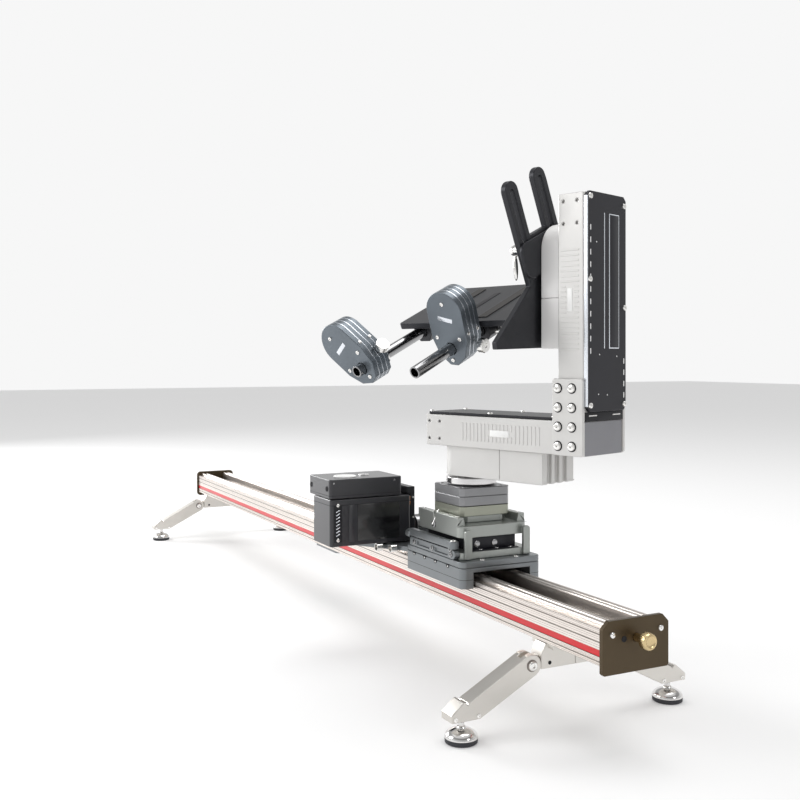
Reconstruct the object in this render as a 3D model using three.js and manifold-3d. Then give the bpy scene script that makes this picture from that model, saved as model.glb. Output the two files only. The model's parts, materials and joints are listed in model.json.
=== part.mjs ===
// Motorised camera slider: a rail on four folding legs, a belt-driven carriage with a
// quick-release stage, a pan and tilt head, and a rod-mounted camera bracket.
// Millimetres, +Z up. +X runs along the rail towards the end with the tension knob.
// The origin is the middle of the tripod plate's underside. The heights below are measured
// from the floor that the feet stand on, and the finished group is lowered to the origin.
import * as THREE from 'three';
import * as BufferGeometryUtils from 'three/addons/utils/BufferGeometryUtils.js';
import Module from 'manifold-3d';

const wasm = await Module();
wasm.setup();

// ---------------------------------------------------------------- driving dimensions
const GAP = 0.3;                 // clearance between neighbouring pieces
const RAIL_LENGTH = 1500;        // over both end plates
const RAIL_WIDTH = 80;
const RAIL_BOTTOM = 94;
const RAIL_TOP = 137;
const PLATE_THICK = 6;           // end plates
const PLATE_WIDTH = 86;
const PLATE_BOTTOM = 86;
const PLATE_TOP = 141;
const CHANNEL_WIDTH = 36;        // middle channel in the rail's top
const CHANNEL_FLOOR = 122;
const STRIPE_LOW = 103;
const STRIPE_HIGH = 110.5;

const LEG_X = [638, -685];       // stations of the near and the far pair of legs
const LEG_HINGE = 59;            // rail's middle to the hinge axis
const LEG_HINGE_Z = 72;
const LEG_REACH = 142;           // rail's middle to the foot's axis
const LEG_HALF = 11;             // half the arm's thickness along the rail
const KNUCKLE_RADIUS = 12;
const FOOT_RADIUS = 18;

const CARRIAGE_X = 423;          // middle of the carriage, and the pan axis
const CARRIAGE_LENGTH = 150;
const CARRIAGE_WIDTH = 117;
const CARRIAGE_BOTTOM = 123;
const CARRIAGE_SEAM = 148;
const CARRIAGE_TOP = 156;
const ROLLER_RADIUS = 5.2;
const ROLLER_X = 55;
const ROLLER_Y = 27;
const PULLEY_RADIUS = 10;
const PULLEY_X = -30;

const PAN_REST = 18;             // degrees, arm direction from +X
const ARM_START = -44;           // along the arm, from the pan axis
const ARM_END = 205;
const ARM_HALF = 40;             // half the arm's depth
const ARM_LOW = 293.5;
const ARM_TOP = 333.5;
const TOWER_START = 168;
const TOWER_TOP = 598;
const COVER_THICK = 4.5;
const JOINT_TOP = 383;           // top of the plates that join the two arms
const GEARBOX_RADIUS = 32;
const GEARBOX_LOW = 254.5;

const TILT_REST = 24;            // degrees, nose down
const TILT_Z = 537;
const HUB_FACE = 134;            // along the arm, inner face of the tilt hub
const BRACKET_THICK = 7.7;
const ROD_RADIUS = 7.5;
const ROD_SPACING = 100;
const ROD_DROP = 70;             // rods below the tilt axis
const ROD_FRONT = 205;
const ROD_BACK = -20;

// ---------------------------------------------------------------- materials
function material(color, roughness, metalness) {
  return new THREE.MeshStandardMaterial({ color, roughness, metalness });
}
const SATIN_ALUMINIUM = material(0xb9b6b0, 0.4, 0.9);
const RED_INSERT = material(0xc4202a, 0.5, 0.0);
const DARK_PLATE = material(0x4a4742, 0.5, 0.5);
const NICKEL = material(0xc9c4bb, 0.3, 0.9);
const BRASS = material(0xb79a62, 0.3, 0.9);
const BELT_RUBBER = material(0x1c1c1d, 0.8, 0.0);
const FOOT_METAL = material(0xa9a9ab, 0.2, 0.9);
const GREY_ANODISED = material(0x5b6066, 0.45, 0.6);
const STAGE_GREY = material(0x7c8080, 0.45, 0.6);
const BLACK_PLASTIC = material(0x151517, 0.45, 0.0);
const HEAD_GREY = material(0xc6c4c0, 0.45, 0.5);
const BLACK_COVER = material(0x202126, 0.5, 0.2);
const CHARCOAL = material(0x3a3b3f, 0.5, 0.4);
const DISC_SILVER = material(0xd2d0cc, 0.25, 0.95);
const MOTOR_BLUE = material(0x4f5a64, 0.45, 0.5);
const STEEL = material(0x8d8f92, 0.3, 0.9);

// ---------------------------------------------------------------- geometry helpers
function box(x0, x1, y0, y1, z0, z1) {
  const geometry = new THREE.BoxGeometry(x1 - x0, y1 - y0, z1 - z0);
  return geometry.translate((x0 + x1) / 2, (y0 + y1) / 2, (z0 + z1) / 2);
}

function outline(points) {
  return new THREE.Shape(points.map(([x, y]) => new THREE.Vector2(x, y)));
}

// A rectangle about the origin, its corners cut or rounded.
function roundedRectangle(width, height, radius) {
  const shape = new THREE.Shape();
  const w = width / 2;
  const h = height / 2;
  shape.moveTo(w - radius, -h);
  shape.absarc(w - radius, -h + radius, radius, -Math.PI / 2, 0, false);
  shape.absarc(w - radius, h - radius, radius, 0, Math.PI / 2, false);
  shape.absarc(-w + radius, h - radius, radius, Math.PI / 2, Math.PI, false);
  shape.absarc(-w + radius, -h + radius, radius, Math.PI, 1.5 * Math.PI, false);
  return shape;
}

function chamferedRectangle(width, height, cut) {
  const w = width / 2;
  const h = height / 2;
  return outline([[w - cut, -h], [w, -h + cut], [w, h - cut], [w - cut, h],
    [-w + cut, h], [-w, h - cut], [-w, -h + cut], [-w + cut, -h]]);
}

// Extrusions along each axis, from the low to the high limit.
function alongZ(shape, low, high, segments = 4) {
  const options = { depth: high - low, bevelEnabled: false, curveSegments: segments };
  return new THREE.ExtrudeGeometry(shape, options).translate(0, 0, low);
}

// The shape's x is the part's Y and its y is the part's Z.
function alongX(shape, low, high, segments = 4) {
  const turn = new THREE.Matrix4().set(0, 0, 1, 0, 1, 0, 0, 0, 0, 1, 0, 0, 0, 0, 0, 1);
  return alongZ(shape, low, high, segments).applyMatrix4(turn);
}

// The shape's x is the part's X and its y is the part's Z.
function alongY(shape, low, high, segments = 4) {
  return alongZ(shape, -high, -low, segments).rotateX(Math.PI / 2);
}

function cylinder(radius, low, high, axis, sides = 24) {
  const geometry = new THREE.CylinderGeometry(radius, radius, high - low, sides);
  geometry.translate(0, (low + high) / 2, 0);
  if (axis === 'x') geometry.rotateZ(-Math.PI / 2);
  if (axis === 'z') geometry.rotateX(Math.PI / 2);
  return geometry;
}

// A turned piece: [radius, height] pairs that start and end on the axis, along +Z.
function turned(profile, sides = 24) {
  const points = profile.map(([radius, height]) => new THREE.Vector2(radius, height));
  return new THREE.LatheGeometry(points, sides).rotateX(Math.PI / 2);
}

function toSolid(geometry) {
  const bare = geometry.clone();
  bare.deleteAttribute('normal');
  bare.deleteAttribute('uv');
  const merged = BufferGeometryUtils.mergeVertices(bare, 1e-3);
  return new wasm.Manifold(new wasm.Mesh({
    numProp: 3,
    vertProperties: new Float32Array(merged.attributes.position.array),
    triVerts: new Uint32Array(merged.index.array),
  }));
}

function toGeometry(solid) {
  const mesh = solid.getMesh();
  const geometry = new THREE.BufferGeometry();
  geometry.setAttribute('position', new THREE.BufferAttribute(mesh.vertProperties, 3));
  geometry.setIndex(new THREE.BufferAttribute(mesh.triVerts, 1));
  geometry.computeVertexNormals();
  return geometry;
}

function cut(base, ...tools) {
  return toGeometry(tools.reduce((solid, tool) => solid.subtract(toSolid(tool)), toSolid(base)));
}

function join(base, ...others) {
  return toGeometry(others.reduce((solid, other) => solid.add(toSolid(other)), toSolid(base)));
}

// A mirrored mesh has its faces turned inside out, so each triangle is reversed.
function turnedRightWay(geometry) {
  const flat = geometry.index ? geometry.toNonIndexed() : geometry;
  const p = flat.attributes.position.array;
  for (let i = 0; i < p.length; i += 9) {
    for (let k = 0; k < 3; k += 1) {
      [p[i + 3 + k], p[i + 6 + k]] = [p[i + 6 + k], p[i + 3 + k]];
    }
  }
  return flat;
}

function add(group, name, geometry, finish) {
  const mesh = new THREE.Mesh(geometry, finish);
  mesh.name = name;
  group.add(mesh);
  return mesh;
}

function placed(group, x, y, z) {
  const child = new THREE.Group();
  child.position.set(x, y, z);
  group.add(child);
  return child;
}

// ---------------------------------------------------------------- rail
// Half the rail's section, from the middle of the channel outwards and down.
function railHalfSection() {
  const half = RAIL_WIDTH / 2;
  const channel = CHANNEL_WIDTH / 2;
  const ridge = 33;
  const shoulder = RAIL_TOP - 5;
  const rows = [[channel, CHANNEL_FLOOR], [channel, RAIL_TOP], [24, RAIL_TOP], [24, RAIL_TOP - 1.5],
    [26, RAIL_TOP - 1.5], [26, RAIL_TOP], [ridge, RAIL_TOP], [ridge, shoulder], [half, shoulder]];
  const grooves = [[127, 125.5, 1.2], [119, 117.5, 1.2], [STRIPE_HIGH, STRIPE_LOW, 2.5], [99, 97.5, 1.2]];
  for (const [high, low, depth] of grooves) {
    rows.push([half, high], [half - depth, high], [half - depth, low], [half, low]);
  }
  rows.push([half, RAIL_BOTTOM], [14, RAIL_BOTTOM], [14, RAIL_BOTTOM + 4]);
  return rows;
}

function buildRail(root) {
  const right = railHalfSection();
  const left = right.map(([y, z]) => [-y, z]).reverse();
  const inner = RAIL_LENGTH / 2 - PLATE_THICK - GAP;
  add(root, 'rail', alongX(outline([...left, ...right]), -inner, inner), SATIN_ALUMINIUM);
  for (const [name, side] of [['red_stripe_left', -1], ['red_stripe_right', 1]]) {
    const face = side * (RAIL_WIDTH / 2 - 0.4);
    const back = side * (RAIL_WIDTH / 2 - 2.2);
    const [y0, y1] = [Math.min(face, back), Math.max(face, back)];
    add(root, name, box(-inner, inner, y0, y1, STRIPE_LOW + GAP, STRIPE_HIGH - GAP), RED_INSERT);
  }
  add(root, 'drive_belt', box(-inner, inner, -5, 5, CHANNEL_FLOOR + GAP, CHANNEL_FLOOR + 2), BELT_RUBBER);
  const tripodPlate = alongZ(roundedRectangle(90, 60, 6), PLATE_BOTTOM, RAIL_BOTTOM - GAP);
  add(root, 'tripod_plate', tripodPlate, GREY_ANODISED);
}

// The near plate has cut upper corners, the far one is rounded all round.
function nearPlateShape(width, height) {
  const w = width / 2;
  const h = height / 2;
  const upper = 8;
  const lower = 2;
  return outline([[w - lower, -h], [w, -h + lower], [w, h - upper], [w - upper, h],
    [-w + upper, h], [-w, h - upper], [-w, -h + lower], [-w + lower, -h]]);
}

function endPlate(low, corner) {
  const height = PLATE_TOP - PLATE_BOTTOM;
  const shape = corner(PLATE_WIDTH, height, 8);
  const plate = alongX(shape, low, low + PLATE_THICK).translate(0, 0, PLATE_BOTTOM + height / 2);
  const holes = [-31.5, 31.5].map((y) => cylinder(2.8, low - 1, low + PLATE_THICK + 1, 'x', 12)
    .translate(0, y, 127));
  return cut(plate, ...holes);
}

function buildEnds(root) {
  const end = RAIL_LENGTH / 2;
  const bore = cylinder(4.3, end - PLATE_THICK - 1, end + 1, 'x', 16).translate(0, 0, 121);
  add(root, 'end_plate_near', cut(endPlate(end - PLATE_THICK, nearPlateShape), bore), DARK_PLATE);
  add(root, 'end_plate_far', endPlate(-end, roundedRectangle), DARK_PLATE);
  const knob = turned([[0, -5], [4, -5], [4, 11], [6, 12], [9, 13], [9, 21], [7.5, 22.5], [0, 22.5]]);
  knob.rotateY(Math.PI / 2).translate(end, 0, 121);
  add(root, 'belt_tension_knob', knob, BRASS);
}

// ---------------------------------------------------------------- legs
// A leg's own group starts under the rail's middle, and +X of the group points outwards.
// The bracket ends in a tongue that the arm's fork is hinged on.
function legBracket() {
  const end = LEG_HINGE - KNUCKLE_RADIUS - 0.7;
  const low = LEG_HINGE_Z - 6;
  const top = RAIL_BOTTOM - GAP;
  const bar = alongY(outline([[0.2, low], [end, low], [end, 82], [end - 6, top], [0.2, top]]), -10, 10);
  const flange = box(0.2, RAIL_WIDTH / 2 - 2, -20, 20, top - 5, top);
  const tongue = cylinder(8, -3, 3, 'y', 24).translate(LEG_HINGE, 0, LEG_HINGE_Z);
  const neck = box(end - 1, LEG_HINGE, -3, 3, LEG_HINGE_Z - 6, LEG_HINGE_Z + 8);
  const bore = cylinder(4.3, -4, 4, 'y', 20).translate(LEG_HINGE, 0, LEG_HINGE_Z);
  return cut(join(bar, flange, tongue, neck), bore);
}

function legArm() {
  const upper = KNUCKLE_RADIUS * Math.cos(THREE.MathUtils.degToRad(28));
  const across = KNUCKLE_RADIUS * Math.sin(THREE.MathUtils.degToRad(28));
  const tip = LEG_REACH + 18;
  const side = outline([[LEG_HINGE + across, LEG_HINGE_Z + upper], [LEG_REACH - 4, 43.8],
    [LEG_REACH - 2, 41.5], [LEG_REACH + 1, 45], [LEG_REACH + 4, 44.5], [tip, 33], [tip, 25],
    [LEG_REACH - 17, 25], [LEG_HINGE - across, LEG_HINGE_Z - upper]]);
  const turn = (radius, half, sides) => cylinder(radius, -half, half, 'y', sides)
    .translate(LEG_HINGE, 0, LEG_HINGE_Z);
  const fork = cut(join(alongY(side, -LEG_HALF, LEG_HALF), turn(KNUCKLE_RADIUS, LEG_HALF, 32)),
    turn(KNUCKLE_RADIUS + 1, 3.4, 32),
    cylinder(5.4, 20, 42.5, 'z', 16).translate(LEG_REACH, 0, 0));
  return join(fork, turn(4, LEG_HALF, 20));
}

function foot() {
  return turned([[0, 0], [FOOT_RADIUS - 1, 0], [FOOT_RADIUS, 1], [FOOT_RADIUS, 5.5], [17, 8],
    [14.5, 11.5], [10.5, 14.5], [6.5, 16], [5, 16.4], [5, 33.5], [0, 33.5]]);
}

function buildLegs(root) {
  for (const [pair, end] of [['near', LEG_X[0]], ['far', LEG_X[1]]]) {
    for (const [hand, side] of [['left', -1], ['right', 1]]) {
      const leg = placed(root, end, 0, 0);
      leg.rotation.z = side * Math.PI / 2;
      add(leg, `leg_bracket_${pair}_${hand}`, legBracket(), NICKEL);
      add(leg, `leg_arm_${pair}_${hand}`, legArm(), NICKEL);
      add(placed(leg, LEG_REACH, 0, 0), `foot_${pair}_${hand}`, foot(), FOOT_METAL);
    }
  }
}

// ---------------------------------------------------------------- carriage
function carriageBody() {
  const channel = 142.5;
  const tall = CARRIAGE_SEAM - 1;
  const shell = alongZ(roundedRectangle(CARRIAGE_LENGTH, CARRIAGE_WIDTH, 8), CARRIAGE_BOTTOM, CARRIAGE_SEAM);
  const half = RAIL_WIDTH / 2 + 1.5;
  const tunnel = box(-CARRIAGE_LENGTH, CARRIAGE_LENGTH, -half, half, 0, channel);
  const pockets = [];
  for (const x of [-ROLLER_X, ROLLER_X]) {
    for (const y of [-ROLLER_Y, ROLLER_Y]) {
      pockets.push(box(x - 8, x + 8, y - 6.5, y + 6.5, channel - 1, tall + 0.6));
    }
  }
  pockets.push(box(PULLEY_X - 12, PULLEY_X + 12, -7, 7, channel - 1, tall));
  const notches = [-50, -21, 8, 40].map((x) => cylinder(3.2, -CARRIAGE_WIDTH, -CARRIAGE_WIDTH / 2 + 5, 'y', 12)
    .translate(x, 0, CARRIAGE_SEAM));
  return cut(shell, tunnel, ...pockets, ...notches);
}

function roller(radius, width) {
  return cut(cylinder(radius, -width / 2, width / 2, 'y', 24), cylinder(1.6, -width, width, 'y', 10));
}

function toothedPulley() {
  const teeth = 20;
  const points = [];
  for (let i = 0; i < teeth * 4; i += 1) {
    const radius = i % 4 < 2 ? PULLEY_RADIUS : PULLEY_RADIUS - 1;
    const angle = (i / (teeth * 4)) * 2 * Math.PI;
    points.push([radius * Math.cos(angle), radius * Math.sin(angle)]);
  }
  return cut(alongY(outline(points), -5, 5), cylinder(2.5, -6, 6, 'y', 12));
}

function buildCarriage(root) {
  const carriage = placed(root, CARRIAGE_X, 0, 0);
  add(carriage, 'carriage_body', carriageBody(), GREY_ANODISED);
  const top = roundedRectangle(CARRIAGE_LENGTH, CARRIAGE_WIDTH, 8);
  add(carriage, 'carriage_top_plate', alongZ(top, CARRIAGE_SEAM + GAP, CARRIAGE_TOP), GREY_ANODISED);
  let number = 1;
  for (const x of [-ROLLER_X, ROLLER_X]) {
    for (const y of [-ROLLER_Y, ROLLER_Y]) {
      const spot = placed(carriage, x, y, RAIL_TOP + 0.1 + ROLLER_RADIUS);
      add(spot, `roller_${number}`, roller(ROLLER_RADIUS, 11), STEEL);
      number += 1;
    }
  }
  const pulleyZ = CHANNEL_FLOOR + 2.2 + PULLEY_RADIUS;
  add(placed(carriage, PULLEY_X, 0, pulleyZ), 'drive_pulley', toothedPulley(), STEEL);
  add(carriage, 'power_shelf', shelf(), GREY_ANODISED);
  const motor = join(cylinder(17, -20, 34, 'y', 28), cylinder(11, 34, 44, 'y', 20));
  add(placed(carriage, -128, 0, 168), 'slide_motor', motor, STEEL);
  return carriage;
}

// The shelf carries the motor and the power pack behind the carriage.
function shelf() {
  const flat = outline([[-172, -110], [-75.3, -50], [-75.3, 50], [-160, 50], [-172, 38]]);
  const floor = alongZ(flat, 143, 149.7);
  const lip = box(-79.3, -75.3, -50, 50, 138, 149.7);
  return join(floor, lip);
}

// ---------------------------------------------------------------- power pack
function buildPower(carriage) {
  const nearFace = -108;
  const length = 62;
  const batteryBox = alongZ(roundedRectangle(length, 122, 4), 152, 216)
    .translate(nearFace - length / 2, -94, 0);
  add(carriage, 'battery', batteryBox, BLACK_PLASTIC);
  const plate = join(
    box(nearFace - 56, nearFace - 2, -32.7, -26, 150, 227),
    box(nearFace - 56, nearFace - 2, -37, -26.5, 217, 227));
  add(carriage, 'battery_plate', plate, CHARCOAL);
  const controller = alongZ(roundedRectangle(74, 109, 4), 217, 243).translate(nearFace - 37, -101.5, 0);
  const window1 = box(nearFace - 60, nearFace - 1, -38, -20, 210, 250);
  add(carriage, 'controller_box', cut(controller, window1, cylinder(2, 236, 250, 'z', 10)
    .translate(nearFace - 20, -140, 0)), BLACK_PLASTIC);
}

// ---------------------------------------------------------------- quick-release stage
const STAGE_FLOOR = CARRIAGE_TOP + GAP;
const SLAB_TOP = 165;
const JAW_LOW = 182;
const STAGE_TOP = 196.7;
const LEVER_X = 50;              // pivot of the clamp's cam lever
const LEVER_Y = -56.2;

function clampLever() {
  const half = 3.8;
  const bar = box(-62, LEVER_X, LEVER_Y - half, LEVER_Y + half, 169, 178.5);
  const eye = cylinder(7, 169, 178.5, 'z', 28).translate(LEVER_X, LEVER_Y, 0);
  const knob = cylinder(5.4, -71, -60.5, 'x', 20).translate(0, LEVER_Y, 171);
  const pin = cylinder(2.5, 159.5, 170, 'z', 16).translate(LEVER_X, LEVER_Y, 0);
  return join(bar, eye, knob, pin);
}

function buildStage(carriage) {
  const slab = alongZ(chamferedRectangle(124, 104, 3), STAGE_FLOOR, SLAB_TOP);
  const hooks = [-43, 43].map((y) => alongX(roundedRectangle(10, 36, 4), 62, 66)
    .translate(0, y, 175));
  const feet = [-43, 43].map((y) => box(58, 66, y - 5, y + 5, STAGE_FLOOR + 1, SLAB_TOP));
  add(carriage, 'clamp_base', join(slab, ...hooks, ...feet), STAGE_GREY);

  const sideShape = outline([[-60, 157], [56, 157], [60, 161], [60, 165], [56, 168], [-56, 168],
    [-60, 165]]);
  const recesses = [[-40, -6], [8, 42]].map(([x0, x1]) => box(x0, x1, -61, -58, 160, 165));
  const pinBore = cylinder(2.8, 158.5, 170, 'z', 16).translate(LEVER_X, LEVER_Y, 0);
  const sidePlate = cut(alongY(sideShape, -60, -52.3), ...recesses, pinBore);
  add(carriage, 'clamp_side_plate', sidePlate, GREY_ANODISED);
  add(carriage, 'clamp_lever', clampLever(), GREY_ANODISED);

  const plate = alongZ(roundedRectangle(116, 100, 10), JAW_LOW, STAGE_TOP);
  const core = box(-44, 44, -30, 30, SLAB_TOP + GAP, JAW_LOW + 1);
  const dovetail = outline([[-50, STAGE_TOP - 1], [-38.5, STAGE_TOP - 1], [-41, 207], [-50, 207]]);
  const jaw = alongX(dovetail, -54, 50);
  const otherJaw = turnedRightWay(jaw.clone().scale(1, -1, 1));
  const split = box(-12, -8.5, -60, -37, STAGE_TOP - 4, 210);
  add(carriage, 'clamp_top', cut(join(plate, core, jaw, otherJaw), split), STAGE_GREY);
}

function buildStack(carriage) {
  const size = 74;
  const low = join(
    alongZ(chamferedRectangle(size - 4, size - 4, 9), STAGE_TOP + GAP, 205.5),
    alongZ(chamferedRectangle(size, size, 5), 205.2, 218));
  add(carriage, 'stack_lower', low, STAGE_GREY);
  const high = alongZ(chamferedRectangle(size, size, 5), 218.3, 241.5);
  const line = cut(alongZ(chamferedRectangle(size + 4, size + 4, 5), 229.8, 230.5),
    alongZ(chamferedRectangle(size - 1.4, size - 1.4, 4.4), 229, 231));
  add(carriage, 'stack_upper', cut(high, line), GREY_ANODISED);
  const disc = turned([[0, 241.8], [30, 241.8], [33, 244], [33, 251.5], [32, 252.5], [20, 252.5],
    [20, 254.2], [0, 254.2]], 40);
  add(carriage, 'pan_disc', disc, DISC_SILVER);
}

// ---------------------------------------------------------------- gear housings
// A housing with one round end about the origin and a flat one at `front`.
function roundEnd(front) {
  const shape = new THREE.Shape();
  shape.moveTo(front, GEARBOX_RADIUS);
  shape.lineTo(0, GEARBOX_RADIUS);
  shape.absarc(0, 0, GEARBOX_RADIUS, Math.PI / 2, 1.5 * Math.PI, false);
  shape.lineTo(front, -GEARBOX_RADIUS);
  return shape;
}

// The motor half has cooling ribs across its end.
function ribbedHalf(back, front) {
  const r = GEARBOX_RADIUS;
  const points = [[back, -r], [front, -r]];
  for (let i = 0; i < 3; i += 1) {
    const start = -r + 10 + i * 15.5;
    points.push([front, start], [front - 5, start], [front - 5, start + 9], [front, start + 9]);
  }
  points.push([front, r], [back, r]);
  return outline(points);
}

// ---------------------------------------------------------------- pan head and arms
function horizontalArm() {
  const middle = (ARM_START + ARM_END) / 2;
  const height = ARM_TOP - ARM_LOW;
  const body = alongZ(chamferedRectangle(ARM_END - ARM_START, ARM_HALF * 2, 1.5), ARM_LOW, ARM_TOP)
    .translate(middle, 0, 0);
  const trough = box(ARM_START + 6, TOWER_START - 12, -ARM_HALF + 6, ARM_HALF - 6, ARM_LOW + 6, ARM_TOP + 1);
  const holes = [];
  for (const u of [ARM_START + 6, ARM_START + 24]) {
    for (const z of [ARM_LOW + height * 0.22, ARM_LOW + height * 0.78]) {
      holes.push(cylinder(2.1, -ARM_HALF - 1, -ARM_HALF + 4, 'y', 10).translate(u, 0, z));
    }
  }
  return cut(body, trough, ...holes);
}

function verticalArm() {
  const low = ARM_TOP + GAP;
  const shape = chamferedRectangle(ARM_END - TOWER_START, ARM_HALF * 2, 1.5);
  const body = alongZ(shape, low, TOWER_TOP).translate((TOWER_START + ARM_END) / 2, 0, 0);
  const trough = box(TOWER_START + 6, ARM_END + 1, -ARM_HALF + 6, ARM_HALF - 6, low + 14, TOWER_TOP - 6);
  const holes = [];
  for (const u of [TOWER_START + 8, ARM_END - 10]) {
    for (const z of [TOWER_TOP - 9, TOWER_TOP - 35]) {
      holes.push(cylinder(2.1, -ARM_HALF - 1, -ARM_HALF + 4, 'y', 10).translate(u, 0, z));
    }
  }
  return cut(body, trough, ...holes);
}

function buildPanHead(root) {
  const head = placed(root, CARRIAGE_X, 0, 0);
  head.rotation.z = THREE.MathUtils.degToRad(PAN_REST);
  const gearTop = ARM_LOW - GAP;
  const seam = 74;
  add(head, 'pan_gear_housing', alongZ(roundEnd(seam - GAP / 2), GEARBOX_LOW, gearTop, 12), HEAD_GREY);
  add(head, 'pan_motor_housing', alongZ(ribbedHalf(seam + GAP / 2, 140), GEARBOX_LOW, gearTop), HEAD_GREY);
  add(head, 'horizontal_arm', horizontalArm(), HEAD_GREY);
  const coverLength = TOWER_START - 3 - ARM_START;
  const lid = alongZ(chamferedRectangle(coverLength, ARM_HALF * 2 - 3, 5), ARM_TOP + GAP, ARM_TOP + GAP + 3.2)
    .translate(ARM_START + coverLength / 2, 0, 0);
  add(head, 'horizontal_arm_cover', lid, BLACK_COVER);
  add(head, 'vertical_arm', verticalArm(), HEAD_GREY);
  const coverLow = 345;
  const coverHeight = TOWER_TOP + 1 - coverLow;
  const cover = alongX(chamferedRectangle(ARM_HALF * 2, coverHeight, 5), ARM_END + GAP, ARM_END + GAP + COVER_THICK)
    .translate(0, 0, coverLow + coverHeight / 2);
  add(head, 'vertical_arm_cover', cover, BLACK_COVER);
  for (const [name, side] of [['joint_plate_front', -1], ['joint_plate_rear', 1]]) {
    const plate = chamferedRectangle(43, JOINT_TOP - ARM_LOW, 2);
    const low = side < 0 ? -ARM_HALF - GAP - 4 : ARM_HALF + GAP;
    add(head, name, alongY(plate, low, low + 4).translate(184.5, 0, (JOINT_TOP + ARM_LOW) / 2), HEAD_GREY);
  }
  const tiltEnd = TOWER_START - GAP;
  const tiltStart = HUB_FACE + 4;
  const turn = (geometry) => geometry.rotateY(Math.PI / 2).translate(0, 0, TILT_Z);
  add(head, 'tilt_gear_housing', turn(alongZ(roundEnd(59 - GAP / 2), tiltStart, tiltEnd, 12)), HEAD_GREY);
  add(head, 'tilt_motor_housing', turn(alongZ(ribbedHalf(59 + GAP / 2, 119), tiltStart, tiltEnd)), HEAD_GREY);
  return head;
}

// ---------------------------------------------------------------- camera mount
// In the tilt group x runs along the tilt axis, -y points where the lens looks, z is up.
function slot(middle, low, high, halfWidth) {
  const path = new THREE.Path();
  path.moveTo(middle + halfWidth, low);
  path.absarc(middle, high, halfWidth, 0, Math.PI, false);
  path.absarc(middle, low, halfWidth, Math.PI, 2 * Math.PI, false);
  return path;
}

const PRONG_Y = [-48.5, 9.5];    // middles of the two slotted uprights
const PRONG_HALF = 12;

function bracketShape() {
  const prongTop = 92;
  const shape = new THREE.Shape();
  shape.moveTo(22, -98);
  shape.lineTo(PRONG_Y[1] + PRONG_HALF, prongTop);
  shape.absarc(PRONG_Y[1], prongTop, PRONG_HALF, 0, Math.PI, false);
  shape.lineTo(PRONG_Y[1] - PRONG_HALF, 34);
  shape.lineTo(PRONG_Y[0] + PRONG_HALF, 34);
  shape.lineTo(PRONG_Y[0] + PRONG_HALF, prongTop);
  shape.absarc(PRONG_Y[0], prongTop, PRONG_HALF, 0, Math.PI, false);
  shape.lineTo(PRONG_Y[0] - PRONG_HALF, -22);
  shape.lineTo(-146, -58);
  shape.lineTo(-148, -66);
  shape.lineTo(-70, -98);
  for (const middle of PRONG_Y) {
    shape.holes.push(slot(middle, -14, prongTop - 2, 4));
  }
  return shape;
}

function buildCameraMount(head) {
  const tilt = placed(head, 0, 0, TILT_Z);
  tilt.rotation.x = THREE.MathUtils.degToRad(TILT_REST);
  const hubShape = roundedRectangle(92, 44, 12);
  const hub = alongX(hubShape, HUB_FACE, HUB_FACE + 3.7).translate(0, -19.5, 8);
  const hubDisc = cylinder(26, HUB_FACE, HUB_FACE + 3.7, 'x', 28);
  add(tilt, 'tilt_hub', join(hub, hubDisc), CHARCOAL);
  const plateEnd = HUB_FACE - GAP;
  const plateStart = plateEnd - BRACKET_THICK;
  add(tilt, 'camera_bracket', alongX(bracketShape(), plateStart, plateEnd, 6), CHARCOAL);
  buildLockLever(tilt, plateStart);

  const seatTop = -48;
  const seat = alongZ(roundedRectangle(plateStart - GAP + 62, 128, 5), seatTop - 8, seatTop);
  add(tilt, 'camera_plate', seat.translate((plateStart - GAP - 62) / 2, -38, 0), CHARCOAL);
  buildRods(tilt, seatTop - 8 - GAP);
}

function buildLockLever(tilt, plateFace) {
  const lever = placed(tilt, 0, PRONG_Y[0], 20);
  const collar = cylinder(7.5, plateFace - GAP - 15, plateFace - GAP, 'x', 20);
  const stem = cylinder(3, plateFace - 4, HUB_FACE - 0.3, 'x', 12);
  const handle = alongX(roundedRectangle(7, 34, 3.4), plateFace - 15, plateFace - 9).translate(0, 0, -19);
  handle.rotateX(THREE.MathUtils.degToRad(-20));
  add(lever, 'lock_lever', join(collar, stem, handle), STEEL);
}

function rodAt(u) {
  return cylinder(ROD_RADIUS, -ROD_FRONT, -ROD_BACK, 'y', 24).translate(u, 0, -ROD_DROP);
}

function buildRods(tilt, clampTop) {
  const half = ROD_SPACING / 2;
  const shape = outline([[-half - 14, clampTop], [-half - 14, clampTop - 22], [-half - 8, clampTop - 28],
    [-half + 8, clampTop - 28], [-half + 14, clampTop - 20], [half - 14, clampTop - 20],
    [half - 8, clampTop - 28], [half + 8, clampTop - 28], [half + 14, clampTop - 22],
    [half + 14, clampTop]]);
  const bores = [-half, half].map((u) => cylinder(ROD_RADIUS + GAP, -90, 0, 'y', 24)
    .translate(u, 0, -ROD_DROP));
  add(tilt, 'rod_clamp', cut(alongY(shape, -76, -44), ...bores), CHARCOAL);
  for (const [name, u] of [['rod_left', -half], ['rod_right', half]]) {
    const hollow = cylinder(ROD_RADIUS - 1.8, -ROD_FRONT - 1, -ROD_BACK + 1, 'y', 20).translate(u, 0, -ROD_DROP);
    add(tilt, name, cut(rodAt(u), hollow), STEEL);
  }
  buildLensMotor(tilt, 'right', half, 120, 6);
  buildLensMotor(tilt, 'left', -half, 180, -45);
}

// ---------------------------------------------------------------- lens motors
const MOTOR_HALF = 15;
const MOTOR_HEAD = 46;           // rod axis to the drive gear's axis

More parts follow.
